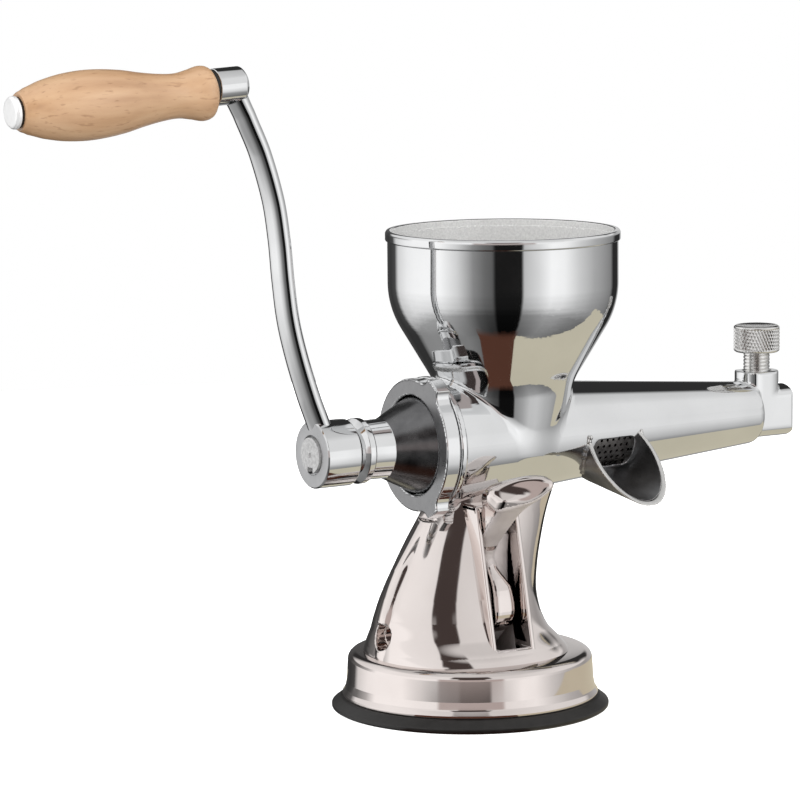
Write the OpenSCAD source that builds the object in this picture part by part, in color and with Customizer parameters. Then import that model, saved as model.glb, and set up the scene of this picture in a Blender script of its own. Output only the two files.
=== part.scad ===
// Hand crank juicer on a suction base, in millimetres.
// The origin is on the table under the middle of the rubber cup, +Z is up,
// +X runs along the barrel to the pulp nozzle and -Y is the juice side.

/* [Base] */
// Radius of the rubber cup's lip on the table
cup_lip_r = 56.6; // [53:0.1:62]
// Height of the base ring's lower edge, where it sits on the rubber
ring_bottom = 5.5; // [4.5:0.1:8]
// Outer radius of the base ring's skirt
ring_r = 50; // [48:0.1:52]
// How far the skirt's foot stands proud of the skirt
ring_flare = 1; // [0.4:0.1:2]
// Height of the base ring
ring_h = 17.2; // [15:0.1:22]
// Wall of the base ring
ring_wall = 2.6; // [2:0.1:3.4]
// Radius of the base ring's top edge
ring_edge = 3; // [2.5:0.1:4.5]
// Radius of the opening in the base ring's top
ring_open_r = 29.2; // [28.8:0.1:29.6]
// Thickness of the rubber cup's middle
cup_t = 8; // [6:0.1:9]
// Radius of the circle the base screws stand on
screw_circle_r = 33.4; // [33:0.1:34]
// Shank radius of a base screw
base_screw_r = 2; // [1.5:0.1:2.5]
// Length of a base screw's shank
base_screw_len = 7.2; // [6:0.1:9]

/* [Pedestal] */
// Wall of the hollow casting
pedestal_wall = 4; // [3:0.1:5]
// Width of the lever slot
slot_w = 18; // [15:0.1:20]
// Height of the slot's sill above the base ring
slot_sill = 6.3; // [5:0.1:8]
// Wall left between the slot's top and the barrel
slot_roof = 2; // [1.5:0.1:4]
// Height of the lever's pivot above the base ring
pivot_rise = 10.3; // [10:0.1:12]
// Shank radius of the bolt under the barrel
saddle_bolt_r = 4; // [3:0.1:5]

/* [Barrel] */
// Height of the barrel's axis above the table
axis_h = 109.5; // [107:0.5:116]
// Outer radius of the barrel's cone at the flange
back_r = 25.9; // [24.8:0.1:27]
// Outer radius of the barrel's cone at the nozzle
front_r = 13; // [12.4:0.1:15]
// Where the cone ends and the nozzle starts, along the axis
cone_end_x = 140; // [134:0.5:142]
// Wall of the barrel
barrel_wall = 3.9; // [3.2:0.1:4.4]
// Place of the flange's rear face along the axis
flange_x = -20; // [-22:0.5:-18]
// Thickness of the flange
flange_t = 2.8; // [2:0.1:4]
// Radius of the flange
flange_r = 27.2; // [26.6:0.1:28]
// Radius of the nozzle
nozzle_r = 11; // [10.4:0.1:12]
// Length of the nozzle past the cone
nozzle_len = 18; // [16:0.5:22]
// Distance from the axis to each flat on the nozzle
flat_y = 7.6; // [7:0.1:9]
// Radius of the pulp channel
pulp_r = 6; // [5:0.1:6.5]

/* [Hopper] */
// Place of the hopper's axis along the barrel
hopper_x = 17; // [15:0.5:19]
// Height of the hopper's rim above the barrel's axis
rim_rise = 84.5; // [80:0.5:95]
// Radius of the bowl under the rim's bead
bowl_r = 46.7; // [44:0.1:50]
// Wall of the bowl
bowl_wall = 2.3; // [1.8:0.1:3]
// Height of the straight stretch under the rim
bowl_straight = 21; // [17:0.5:24]
// Radius of the bowl's shoulder in section
shoulder_r = 36; // [34:0.5:38]
// Slope of the bowl's cone from the upright
bowl_slope = 31; // [29:0.5:33]
// Outer radius of the neck
neck_r = 27; // [26:0.1:28]
// Radius of the throat into the barrel
throat_r = 18; // [15:0.1:18.5]
// How far the rim's bead stands proud
bead = 0.9; // [0.5:0.1:1.5]
// Height of the rim's bead
bead_h = 4.2; // [3:0.1:6]

/* [Juice spout] */
// Place of the spout along the axis
spout_x = 58.6; // [56:0.1:62]
// Outer radius of the spout's tube
spout_r = 15.2; // [14.4:0.1:15.6]
// Wall of the spout's tube
spout_wall = 1.8; // [1.2:0.1:2.4]
// Depth of the spout's centre line under the barrel's axis
spout_drop = 5.4; // [4.6:0.1:6.2]
// Reach of the spout's lip from the barrel's axis
spout_reach = 46; // [42:0.5:50]
// Slope of the spout's rim below level
spout_slope = 44; // [41:0.5:46]
// Width of the juice window
window_w = 21; // [17:0.5:22]
// Height of the juice window
window_h = 12; // [9:0.5:13]
// Radius of a strainer hole
hole_r = 0.65; // [0.4:0.05:0.9]
// Distance between strainer holes
hole_pitch = 3; // [2.6:0.1:4]

/* [Rear end] */
// Radius of the lock ring
lock_r = 25.6; // [25.2:0.1:26.4]
// Width of the lock ring along the axis
lock_w = 5.9; // [5.6:0.1:8]
// Reach of the lock ring's ears from the axis
ear_r = 30; // [29:0.1:31]
// Width of an ear
ear_w = 8.5; // [7:0.1:10]
// Radius of the end cap's neck
cap_neck_r = 12; // [11.4:0.1:12.8]
// Length of the end cap's cone
cap_cone_len = 16; // [13:0.5:19]
// Length of the end cap's neck
cap_neck_len = 9; // [7:0.5:12]
// Radius of the collar on the end cap's neck
collar_r = 13.2; // [13:0.1:14]
// Radius of the shaft in its bush
shaft_r = 8; // [7.4:0.1:8.6]
// Wall of the shaft's bush
bush_wall = 1.95; // [1.4:0.05:2.2]
// Distance between the auger's turns
auger_pitch = 22; // [18:0.5:28]
// Thickness of the auger's flight
flight_t = 3.5; // [2.5:0.1:5]

/* [Crank] */
// Radius of the crank's hub
hub_r = 12.75; // [12.2:0.05:14]
// Length of the crank's hub
hub_len = 16.6; // [15:0.1:20]
// Rise of the grip's axis above the barrel's axis
arm_rise = 145.4; // [130:0.5:160]
// Reach of the eye outward from the hub's outer face
arm_reach = 35.4; // [30:0.5:42]
// Thickness of the crank's oval rod
arm_t = 6.6; // [6:0.1:7.4]
// Width of the crank's oval rod, across the plane of its bend
arm_w = 12.2; // [10:0.1:13]
// Swelling of the rod at the hub, as a share of its size
arm_swell = 0.14; // [0:0.01:0.2]
// Radius of the eye
eye_r = 7.25; // [6.8:0.05:8]
// Rise of the eye's middle above the grip's axis
eye_rise = 1.8; // [0:0.1:2]
// Length of the eye
eye_len = 12.9; // [11.8:0.1:16]
// Tilt of the grip below level
grip_tilt = 2.9; // [0:0.1:4]
// Length of the wooden grip
grip_len = 81.5; // [70:0.5:95]
// Largest radius of the wooden grip
grip_r = 13.35; // [12.5:0.05:15]
// Radius of the grip's bolt
spindle_r = 3.5; // [3:0.1:3.8]
// Radius of the bolt's head
spindle_head_r = 6.3; // [5.6:0.1:7]

/* [Lever] */
// Thickness of the lever
lever_t = 10; // [8:0.1:11]
// Radius of the lever's hub
lever_hub_r = 11; // [10.4:0.1:11.4]
// Radius of the pivot pin
pivot_r = 4; // [3.4:0.1:4.4]
// Radius of the link pin
link_r = 2; // [1.6:0.1:2.2]
// Distance from the pivot to the link pin
link_arm = 7.2; // [7:0.1:7.4]
// Swing of the lever, which the link pin straddles evenly
lever_swing = 45; // [40:1:48]
// Height of the thumb pad's centre, as a share of the barrel's height over the pivot
pad_share = 0.81; // [0.78:0.005:0.84]
// Reach of the thumb pad's front from the pivot
pad_reach = 41; // [38:0.5:44]
// Width of the thumb pad
pad_w = 27; // [22:0.5:30]
// Height of the thumb pad
pad_h = 11.5; // [9:0.5:13]
// Thickness of the thumb pad
pad_t = 8; // [6:0.5:10]
// Thickness of each cheek of the stem
cheek_t = 3; // [2.4:0.1:3.4]
// Radius of the stem's foot plate
stem_plate_r = 14; // [13:0.5:16]
// Thickness of the stem's foot plate
stem_plate_t = 3; // [2.2:0.1:3.2]

/* [Pressure screw] */
// Place of the screw's axis past the end of the cone
screw_offset = 3.9; // [3:0.1:6]
// Radius of the boss that the screw runs in
boss_r = 9.2; // [8.6:0.1:10]
// Height of the boss above the barrel's axis
boss_rise = 17.5; // [16.5:0.1:20]
// Radius of the screw's thread
thread_r = 5.5; // [4.8:0.1:5.8]
// Length of thread that shows above the boss
thread_show = 8; // [7:0.1:12]
// Radius of the knurled head
knob_r = 9.8; // [8.5:0.1:11]
// Height of the knurled head
knob_h = 11.2; // [9:0.1:13]

/* [Hidden] */
$fn = 72;

// Clearances
run_gap = 0.08;
loose_gap = 0.35;
eps = 0.01;

// Heights of the base
ring_top = ring_bottom + ring_h;
pivot_h = ring_top + pivot_rise;
slot_bottom = ring_top + slot_sill;
slot_depth = 6;

// Places along the barrel
cone_start_x = flange_x + flange_t;
nozzle_end_x = cone_end_x + nozzle_len;
screw_x = cone_end_x + screw_offset;
plug_len = 7;
plug_x = flange_x + plug_len;
chamber_back_r = back_r - barrel_wall - 0.4;
chamber_front_r = front_r - barrel_wall + 0.5;
chamber_back_x = plug_x + 1;
chamber_end_x = cone_end_x - 2;

// Rear end, from the flange outward
seal_t = 1.5;
cap_flange_t = 1.6;
cap_flange_r = chamber_back_r + 1.6;
cap_flange_x = flange_x - seal_t - cap_flange_t;
lock_x = flange_x - 0.2 - lock_w;
lock_bore_r = cap_flange_r - 3;
cap_cone_x = lock_x + 0.6;
cap_neck_x = cap_cone_x - cap_cone_len;
collar_x = cap_neck_x - cap_neck_len;
collar_t = 5.6;
bevel = 2.4;
cap_end_x = collar_x - collar_t;
hub_gap = 0.6;
hub_end_x = cap_end_x - hub_gap;
hub_face_x = hub_end_x - hub_len;
shaft_end_r = shaft_r - 0.9;
shaft_proud = 0.8;
hub_bore_drop = 1.1;
hub_bore_r = shaft_end_r + hub_bore_drop + 0.1;
shaft_tail_r = 5;
shaft_tail_len = 24;
key_w = 4;
key_seat = 4.8;
key_top = hub_bore_r + hub_bore_drop + 1.1;

// Crank and grip
eye_x = hub_face_x - arm_reach;
eye_h = axis_h + arm_rise;
washer_t = 1.6;
washer_r = eye_r;
grip_u = eye_len / 2 + washer_t + loose_gap;
grip_recess = 1.6;
head_t = 5;

// Lever linkage, with the link pin below level at rest
link_y = link_arm * cos(lever_swing / 2);
link_z = -link_arm * sin(lever_swing / 2);
stem_lift = 2 * link_arm * sin(lever_swing / 2);
cheek_x = lever_t / 2 + 1;
boss_in_x = cheek_x + cheek_t + 1.5;
pivot_boss_r = 7;
pin_recess = 5;

// Pressure screw
boss_top = axis_h + boss_rise;
screw_tip = axis_h + pulp_r - 1.5;
seal_h = boss_top - 4;
seal_r = 0.85;
seal_mid_r = thread_r + loose_gap - 0.05 - seal_r;
groove_r = seal_mid_r - seal_r - 0.1;
groove_half = seal_r + 0.15;

// Middle of a smooth curve through four neighbours
function blend4(a, b, c, d, t) =
  0.5 * (2 * b + (c - a) * t + (2 * a - 5 * b + 4 * c - d) * t * t + (3 * b - a - 3 * c + d) * t * t * t);

// Span of the stations that holds the value u
function span(rows, u, i = 0) =
  i >= len(rows) - 2 || u < rows[i + 1][0] ? i : span(rows, u, i + 1);

// Smooth value of one column of the stations at u
function along(rows, u, col) =
  let (
    i = span(rows, u),
    last = len(rows) - 1,
    t = (u - rows[i][0]) / (rows[i + 1][0] - rows[i][0])
  )
  blend4(rows[max(i - 1, 0)][col], rows[i][col], rows[i + 1][col], rows[min(i + 2, last)][col], t);

// Outer and inner radius of the barrel's cone at a place along the axis
function cone_r(x) =
  back_r + (front_r - back_r) * (x - cone_start_x) / (cone_end_x - cone_start_x);
function chamber_r(x) =
  chamber_back_r
  + (chamber_front_r - chamber_back_r) * (x - chamber_back_x) / (chamber_end_x - chamber_back_x);

// Local +Z along the barrel from a place on its axis
module on_axis(x) {
  translate([x, 0, axis_h]) rotate([0, 90, 0]) children();
}

// Solid of revolution about the barrel's axis from points [radius, place along the axis]
module turned(points) {
  translate([0, 0, axis_h]) rotate([0, 90, 0]) rotate_extrude() polygon(points);
}

// Closed skin over a stack of rings with the same number of points
module skin(rings) {
  n = len(rings[0]);
  m = len(rings);
  points = [for (ring = rings) each ring];
  sides = [
    for (j = [0 : m - 2]) for (i = [0 : n - 1])
      let (a = j * n + i, b = j * n + (i + 1) % n)
      each [[a, b, b + n], [a, b + n, a + n]]
  ];
  first = [for (i = [1 : n - 2]) [0, i + 1, i]];
  last = [for (i = [1 : n - 2]) let (o = (m - 1) * n) [o, o + i, o + i + 1]];
  polyhedron(points, concat(sides, first, last), convexity = 8);
}

// Rectangle with round corners, centred
module rounded(w, h, r) {
  square([w - 2 * r, h], center = true);
  square([w, h - 2 * r], center = true);
  for (sx = [-1, 1]) for (sy = [-1, 1])
    translate([sx * (w / 2 - r), sy * (h / 2 - r)]) circle(r);
}

// Cone of the barrel without its bores, also the seat of what is fixed to it
module barrel_cone(grow = 0) {
  on_axis(cone_start_x - eps)
    cylinder(h = cone_end_x - cone_start_x + eps, r1 = back_r + grow, r2 = front_r + grow);
}

// Side of the nozzle and of its boss that the flats take away
module nozzle_flats() {
  flat_x = cone_end_x - 1.6;
  for (s = [-1, 1])
    translate([flat_x, s > 0 ? flat_y : -flat_y - 40, axis_h - 40])
      cube([60, 40, 80]);
}

// Prism of the juice window, seen along Y
module window_prism(grow) {
  window_z = axis_h - 8;
  window_start = 3;
  translate([spout_x, -window_start, window_z]) rotate([90, 0, 0])
    linear_extrude(height = back_r + 10)
      rounded(window_w + 2 * grow, window_h + 2 * grow, 3 + grow);
}

// Space that the strainer's seat takes out of the chamber's wall
module strainer_seat(gap) {
  strainer_t = 1.2;
  border = 1.6;
  intersection() {
    on_axis(chamber_back_x) cylinder(
      h = chamber_end_x - chamber_back_x,
      r1 = chamber_back_r + strainer_t + gap,
      r2 = chamber_front_r + strainer_t + gap
    );
    window_prism(border + gap);
  }
}

module barrel() {
  color("silver")
  difference() {
    union() {
      barrel_cone();
      on_axis(flange_x) cylinder(h = flange_t, r = flange_r);
      difference() {
        union() {
          on_axis(cone_end_x - eps) cylinder(h = nozzle_len + eps, r = nozzle_r);
          translate([screw_x, 0, axis_h]) cylinder(h = boss_rise, r = boss_r);
        }
        nozzle_flats();
      }
    }
    on_axis(flange_x - 1) cylinder(h = chamber_back_x - flange_x + 1 + eps, r = chamber_back_r);
    on_axis(chamber_back_x)
      cylinder(h = chamber_end_x - chamber_back_x, r1 = chamber_back_r, r2 = chamber_front_r);
    on_axis(chamber_end_x - 1) cylinder(h = nozzle_len + 10, r = pulp_r);
    translate([hopper_x, 0, axis_h]) cylinder(h = 2 * back_r, r = throat_r);
    translate([screw_x, 0, axis_h]) cylinder(h = boss_rise + 1, r = thread_r + loose_gap);
    window_prism(0);
    strainer_seat(0.1);
    saddle_bolt_hole();
  }
}

// Outer outline of the hopper from the rim's bead down to its seat on the barrel
rim_h = axis_h + rim_rise;
shoulder_h = rim_h - bowl_straight;
slope_r = bowl_r - shoulder_r * (1 - cos(bowl_slope));
slope_h = shoulder_h - shoulder_r * sin(bowl_slope);
neck_fillet = 25;
neck_start_r = neck_r + neck_fillet * (1 - cos(bowl_slope));
neck_start_h = slope_h - (slope_r - neck_start_r) / tan(bowl_slope);
neck_end_h = neck_start_h - neck_fillet * sin(bowl_slope);
seat_h = axis_h - 10;
seat_r = cone_r(hopper_x) - 1.5;
arc_steps = 10;
function hopper_outer() = concat(
  [[seat_r, seat_h], [neck_r, neck_end_h]],
  [for (i = [1 : arc_steps]) let (a = bowl_slope * i / arc_steps)
    [neck_r + neck_fillet * (1 - cos(a)), neck_end_h + neck_fillet * sin(a)]],
  [for (i = [0 : arc_steps]) let (a = bowl_slope * (1 - i / arc_steps))
    [bowl_r - shoulder_r * (1 - cos(a)), shoulder_h - shoulder_r * sin(a)]],
  [[bowl_r, rim_h - bead_h - bead], [bowl_r + bead, rim_h - bead_h], [bowl_r + bead, rim_h - bead],
    [bowl_r, rim_h]]
);
function hopper_inner() = concat(
  [[bowl_r - bowl_wall, rim_h], [bowl_r - bowl_wall, shoulder_h]],
  [for (i = [1 : arc_steps]) let (a = bowl_slope * i / arc_steps, r = shoulder_r - bowl_wall)
    [bowl_r - bowl_wall - r * (1 - cos(a)), shoulder_h - r * sin(a)]],
  [[neck_start_r - bowl_wall, neck_start_h], [throat_r, neck_end_h + 8], [throat_r, seat_h]]
);

module hopper() {
  color("gainsboro")
  difference() {
    translate([hopper_x, 0, 0]) rotate_extrude($fn = 96) polygon(concat(hopper_outer(), hopper_inner()));
    barrel_cone();
  }
}

// Fall of the spout's tube below level
spout_fall = 7.2;

// Frame of the spout's tube, with local +Z outward along it
module on_spout() {
  translate([spout_x, 0, axis_h - spout_drop]) rotate([90 + spout_fall, 0, 0]) children();
}

// Space under the spout's slanted back, moved up by a lift
module spout_under(lift) {
  back_drop = 13;
  translate([0, 0, axis_h - back_drop + lift]) rotate([45, 0, 0])
    translate([0, -100, -100]) cube([200, 200, 100]);
}

module juice_spout() {
  lip_h = axis_h - spout_drop - spout_r / cos(spout_fall) - spout_reach * tan(spout_fall);
  color("silver")
  difference() {
    on_spout() cylinder(h = spout_reach + 10, r = spout_r);
    spout_under(0);
    difference() {
      on_spout() translate([0, 0, -1]) cylinder(h = spout_reach + 20, r = spout_r - spout_wall);
      spout_under(spout_wall * sqrt(2));
    }
    barrel_cone();
    translate([0, -spout_reach, lip_h]) rotate([spout_slope, 0, 0])
      translate([0, -100, 0]) cube([200, 200, 80]);
    translate([0, 0, axis_h - 60]) cube([200, 60, 120]);
  }
}

module strainer() {
  columns = floor(window_w / hole_pitch);
  rows = floor(window_h / hole_pitch) + 1;
  color("dimgray")
  difference() {
    strainer_seat(0);
    on_axis(chamber_back_x)
      cylinder(h = chamber_end_x - chamber_back_x, r1 = chamber_back_r, r2 = chamber_front_r);
    for (i = [0 : columns]) for (j = [0 : rows - 1])
      let (
        x = (i - columns / 2 + (j % 2) / 2) * hole_pitch - hole_pitch / 4,
        z = (j - (rows - 1) / 2) * hole_pitch * 0.86
      )
      translate([spout_x + x, 0, axis_h - 8 + z]) rotate([90, 0, 0]) cylinder(h = 40, r = hole_r, $fn = 16);
  }
}

module auger() {
  start_x = plug_x + loose_gap;
  end_x = chamber_end_x - 1.5;
  core_back_r = 9;
  core_front_r = 5;
  tip_gap = 0.6;
  per_turn = 20;
  run = end_x - start_x - flight_t - 2;
  steps = ceil(run / auger_pitch * per_turn);
  function core_r(x) = core_back_r + (core_front_r - core_back_r) * (x - start_x) / (end_x - start_x);
  function flight_point(x, r, a) = [x, -r * sin(a), axis_h + r * cos(a)];
  color("lightgray")
  union() {
    difference() {
      on_axis(start_x) cylinder(h = end_x - start_x, r1 = core_back_r, r2 = core_front_r);
      on_axis(plug_x - 1) cylinder(h = shaft_tail_len + 1 + loose_gap, r = shaft_tail_r);
    }
    skin([
      for (k = [0 : steps])
        let (
          u = k / steps,
          x = start_x + 1 + run * u,
          a = 360 * run / auger_pitch * u,
          outer = chamber_r(x + flight_t) - tip_gap,
          inner = core_r(x) - 1
        )
        [
          flight_point(x, inner, a), flight_point(x + 0.6, outer, a),
          flight_point(x + flight_t - 0.6, outer, a), flight_point(x + flight_t, inner, a)
        ]
    ]);
  }
}

module drive_shaft() {
  color("lightsteelblue")
  difference() {
    union() {
      on_axis(hub_face_x - shaft_proud) cylinder(h = hub_len + shaft_proud + eps, r = shaft_end_r);
      on_axis(hub_end_x) cylinder(h = plug_x - hub_end_x + eps, r = shaft_r);
      on_axis(plug_x) cylinder(h = shaft_tail_len, r = shaft_tail_r);
    }
    translate([hub_face_x - 5, -key_w / 2, axis_h - 20]) cube([hub_len + 5, key_w, 20 - key_seat]);
    on_axis(hub_face_x - shaft_proud - 1) cylinder(h = 3.2, r1 = 1.6, r2 = 0);
  }
}

module drive_key() {
  color("gray")
  translate([hub_face_x + 2.5, -key_w / 2, axis_h - key_top])
    cube([hub_len - 3, key_w, key_top - key_seat]);
}

module end_cap() {
  bore_r = shaft_r + run_gap + bush_wall;
  color("silver")
  turned([
    [bore_r, cap_end_x], [collar_r - bevel, cap_end_x], [collar_r, cap_end_x + bevel],
    [collar_r, collar_x - 0.8], [cap_neck_r, collar_x], [cap_neck_r, cap_neck_x],
    [lock_bore_r - 0.5, cap_cone_x], [lock_bore_r - 0.5, cap_flange_x], [cap_flange_r, cap_flange_x],
    [cap_flange_r, cap_flange_x + cap_flange_t],
    [chamber_back_r - loose_gap, cap_flange_x + cap_flange_t], [chamber_back_r - loose_gap, plug_x],
    [bore_r, plug_x]
  ]);
}

module shaft_bush() {
  color("ivory")
  turned([
    [shaft_r + run_gap, cap_end_x + 1], [shaft_r + run_gap + bush_wall, cap_end_x + 1],
    [shaft_r + run_gap + bush_wall, plug_x - 1], [shaft_r + run_gap, plug_x - 1]
  ]);
}

module cap_seal() {
  color("whitesmoke")
  turned([
    [chamber_back_r, flange_x - seal_t], [cap_flange_r, flange_x - seal_t],
    [cap_flange_r, flange_x], [chamber_back_r, flange_x]
  ]);
}

module lock_ring() {
  ear_angle = 31;
  ear_inset = 0.2;
  half = ear_w / 2;
  root_flare = 2.4;
  color("darkgray")
  difference() {
    union() {
      on_axis(lock_x) cylinder(h = lock_w, r = lock_r);
      for (k = [0 : 2])
        on_axis(lock_x + ear_inset) rotate([0, 0, 120 * k + ear_angle + 180]) intersection() {
          cylinder(h = lock_w - 2 * ear_inset, r = ear_r);
          translate([0, 0, -1]) linear_extrude(height = lock_w + 2) polygon([
            [cap_flange_r + 1, -half - root_flare], [lock_r - 0.9, -half - root_flare],
            [lock_r + 0.9, -half - 0.6], [ear_r + 2, -half], [ear_r + 2, half], [lock_r + 0.9, half + 0.6],
            [lock_r - 0.9, half + root_flare], [cap_flange_r + 1, half + root_flare]
          ]);
        }
    }
    on_axis(lock_x - 1) cylinder(h = lock_w + 2, r = lock_bore_r);
    on_axis(cap_flange_x - 0.1) cylinder(h = 20, r = cap_flange_r + run_gap);
  }
}

module crank_hub() {
  edge = 1.3;
  color("silver")
  difference() {
    turned([
      [0, hub_face_x], [hub_r - 0.5, hub_face_x], [hub_r, hub_face_x + 0.5],
      [hub_r, hub_end_x - edge], [hub_r - edge - 0.5, hub_end_x], [0, hub_end_x]
    ]);
    translate([0, 0, -hub_bore_drop]) on_axis(hub_face_x - 1) cylinder(h = hub_len + 2, r = hub_bore_r);
    translate([hub_face_x - 1, -key_w / 2, axis_h - key_top])
      cube([hub_len + 2, key_w, key_top - hub_bore_r + 1]);
  }
}

// The rod's bow off the straight line from hub to eye: [share of the way, bow outward]
arm_bow = [
  [0, 0], [0.1, 1.2], [0.22, 1.7], [0.33, 1], [0.45, -1.6], [0.56, -4.6], [0.68, -6.8],
  [0.82, -6.6], [0.93, -4.3], [1, -2.5]
];
arm_root_x = hub_face_x + 3.8;
arm_base_h = axis_h + hub_r - 3;
function arm_point(u) = [
  arm_root_x + (eye_x - arm_root_x) * u - along(arm_bow, u, 1),
  arm_base_h + (eye_h + eye_rise - 2 - arm_base_h) * u
];
function arm_size(u) = 1 + arm_swell * pow(1 - u, 3);

module crank_arm() {
  rings = 30;
  sides = 20;
  color("silver")
  difference() {
    skin([
      for (j = [0 : rings])
        let (
          u = j / rings,
          c = arm_point(u),
          ahead = arm_point(min(u + 0.01, 1)),
          behind = arm_point(max(u - 0.01, 0)),
          dir = (ahead - behind) / norm(ahead - behind),
          thick = arm_size(u) * arm_t / 2,
          wide = arm_size(u) * arm_w / 2
        )
        [
          for (i = [0 : sides - 1])
            let (a = 360 * i / sides)
            [c.x + thick * cos(a) * dir.y, wide * sin(a), c.y - thick * cos(a) * dir.x]
        ]
    ]);
    on_axis(hub_face_x - 5) cylinder(h = hub_len + 10, r = hub_r);
    on_eye() translate([0, 0, -eye_len / 2 - 5]) cylinder(h = eye_len + 10, r = eye_r);
  }
}

// Frame of the grip, with local +Z outward along it from the middle of the eye
module on_grip() {
  translate([eye_x, 0, eye_h]) rotate([0, -90 - grip_tilt, 0]) children();
}

// Frame of the eye, which stands above the grip's axis
module on_eye() {
  translate([0, 0, eye_rise]) on_grip() children();
}

module crank_eye() {
  color("silver")
  difference() {
    on_eye() translate([0, 0, -eye_len / 2]) rotate_extrude() polygon([
      [0, 0], [eye_r - 0.8, 0], [eye_r, 0.8], [eye_r, eye_len - 0.4], [eye_r - 0.4, eye_len], [0, eye_len]
    ]);
    on_grip() translate([0, 0, 2 - eye_len / 2]) cylinder(h = eye_len, r = spindle_r);
  }
}

module grip_spindle() {
  shank = grip_u + grip_len - grip_recess + run_gap;
  color("whitesmoke")
  on_grip() {
    translate([0, 0, 2.2 - eye_len / 2]) cylinder(h = shank - 2.2 + eye_len / 2, r = spindle_r);
    translate([0, 0, shank - eps]) rotate_extrude() polygon([
      [0, 0], [spindle_head_r, 0], [spindle_head_r, head_t - 0.9], [spindle_head_r - 0.9, head_t], [0, head_t]
    ]);
  }
}

module grip_washer() {
  color("black")
  difference() {
    on_eye() translate([0, 0, eye_len / 2]) cylinder(h = washer_t, r = washer_r);
    on_grip() translate([0, 0, eye_len / 2 - 1]) cylinder(h = washer_t + 2, r = spindle_r);
  }
}

// Shape of the grip: [share of its length from the eye, share of its largest radius]
grip_shape = [
  [0, 0.72], [0.02, 0.78], [0.05, 0.795], [0.1, 0.725], [0.17, 0.652], [0.25, 0.675], [0.36, 0.775],
  [0.46, 0.9], [0.57, 0.98], [0.67, 1], [0.78, 0.945], [0.88, 0.82], [0.955, 0.67], [0.99, 0.575], [1, 0.53]
];

module grip() {
  steps = 60;
  color("burlywood")
  on_grip() translate([0, 0, grip_u]) difference() {
    rotate_extrude() polygon(concat(
      [[0, 0]],
      [for (i = [0 : steps]) let (u = i / steps) [grip_r * along(grip_shape, u, 1), grip_len * u]],
      [[0, grip_len]]
    ));
    translate([0, 0, -1]) cylinder(h = grip_len + 2, r = spindle_r + run_gap);
    translate([0, 0, grip_len - grip_recess]) cylinder(h = 10, r = spindle_head_r + loose_gap);
  }
}

// Outline of the pedestal: [share of the height up to the axis, reach to the crank side,
// reach to the nozzle side, half its depth]
pedestal_form = [
  [0, 43.5, 40, 39.5], [0.05, 42.8, 37, 37], [0.12, 41.5, 31.5, 32.2], [0.2, 40, 28.5, 29],
  [0.3, 37, 27.3, 26.3], [0.42, 32.2, 28.7, 23.4], [0.54, 27, 31.5, 20.4], [0.66, 21, 35, 17.6],
  [0.8, 15.5, 40, 15.5], [0.9, 13, 42, 14.5]
];
pedestal_h = axis_h - ring_top;
squareness = 2.2;

// Ring of points round the pedestal at a share of its height, moved inward by an inset
function pedestal_ring(u, inset, sides) =
  let (
    rear = along(pedestal_form, u, 1) - inset,
    front = along(pedestal_form, u, 2) - inset,
    depth = along(pedestal_form, u, 3) - inset
  )
  [
    for (i = [0 : sides - 1])
      let (
        a = -360 * i / sides,
        c = cos(a),
        s = sin(a),
        k = pow(pow(abs(c), squareness) + pow(abs(s), squareness), -1 / squareness)
      )
      [(front - rear) / 2 + (front + rear) / 2 * c * k, depth * s * k, ring_top + pedestal_h * u]
  ];

module pedestal_solid(inset, foot_inset, high, sink) {
  levels = 16;
  sides = 36;
  foot_share = 0.1;
  crowding = 1.5;
  rings = [
    for (j = [0 : levels])
      let (u = high * pow(j / levels, crowding))
      pedestal_ring(u, inset + foot_inset * max(0, 1 - u / foot_share), sides)
  ];
  skin(sink > 0 ? concat([[for (p = rings[0]) p - [0, 0, sink]]], [for (j = [1 : levels]) rings[j]]) : rings);
}

module pedestal() {
  hollow_top = 0.6;
  foot_extra = 9;
  color("rosybrown")
  difference() {
    union() {
      difference() {
        pedestal_solid(0, 0, 0.9, 0);
        pedestal_solid(pedestal_wall, foot_extra, hollow_top, 2);
      }
      translate([-boss_rear_x, 0, pivot_h]) rotate([0, 90, 0])
        cylinder(h = boss_rear_x - boss_in_x, r = pivot_boss_r);
      translate([boss_in_x, 0, pivot_h]) rotate([0, 90, 0])
        cylinder(h = boss_front_x - boss_in_x, r = pivot_boss_r);
    }
    translate([-slot_w / 2, -80, slot_bottom]) cube([slot_w, 80 - slot_depth, slot_top - slot_bottom]);
    lever_relief();
    barrel_cone();
    on_axis(flange_x - 1) cylinder(h = flange_t + 1 + loose_gap, r = flange_r + loose_gap);
    on_axis(lock_x - 12) cylinder(h = lock_w + 12.5, r = ear_r + 1);
    translate([-60, 0, pivot_h]) rotate([0, 90, 0]) cylinder(h = 60 + pin_end_x, r = pivot_r);
    translate([-60, 0, pivot_h]) rotate([0, 90, 0]) cylinder(h = 60 + pin_start_x, r = pivot_r + 1.5);
    base_screw_holes(base_screw_r);
    saddle_bolt_hole();
  }
}
// Highest the slot may reach below the barrel's cone, at the slot's deepest corner
slot_cone_r = back_r - (back_r - front_r) * (-slot_w / 2 - cone_start_x) / (cone_end_x - cone_start_x);
slot_top = axis_h - sqrt(pow(slot_cone_r, 2) - pow(slot_depth, 2)) - slot_roof;

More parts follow.
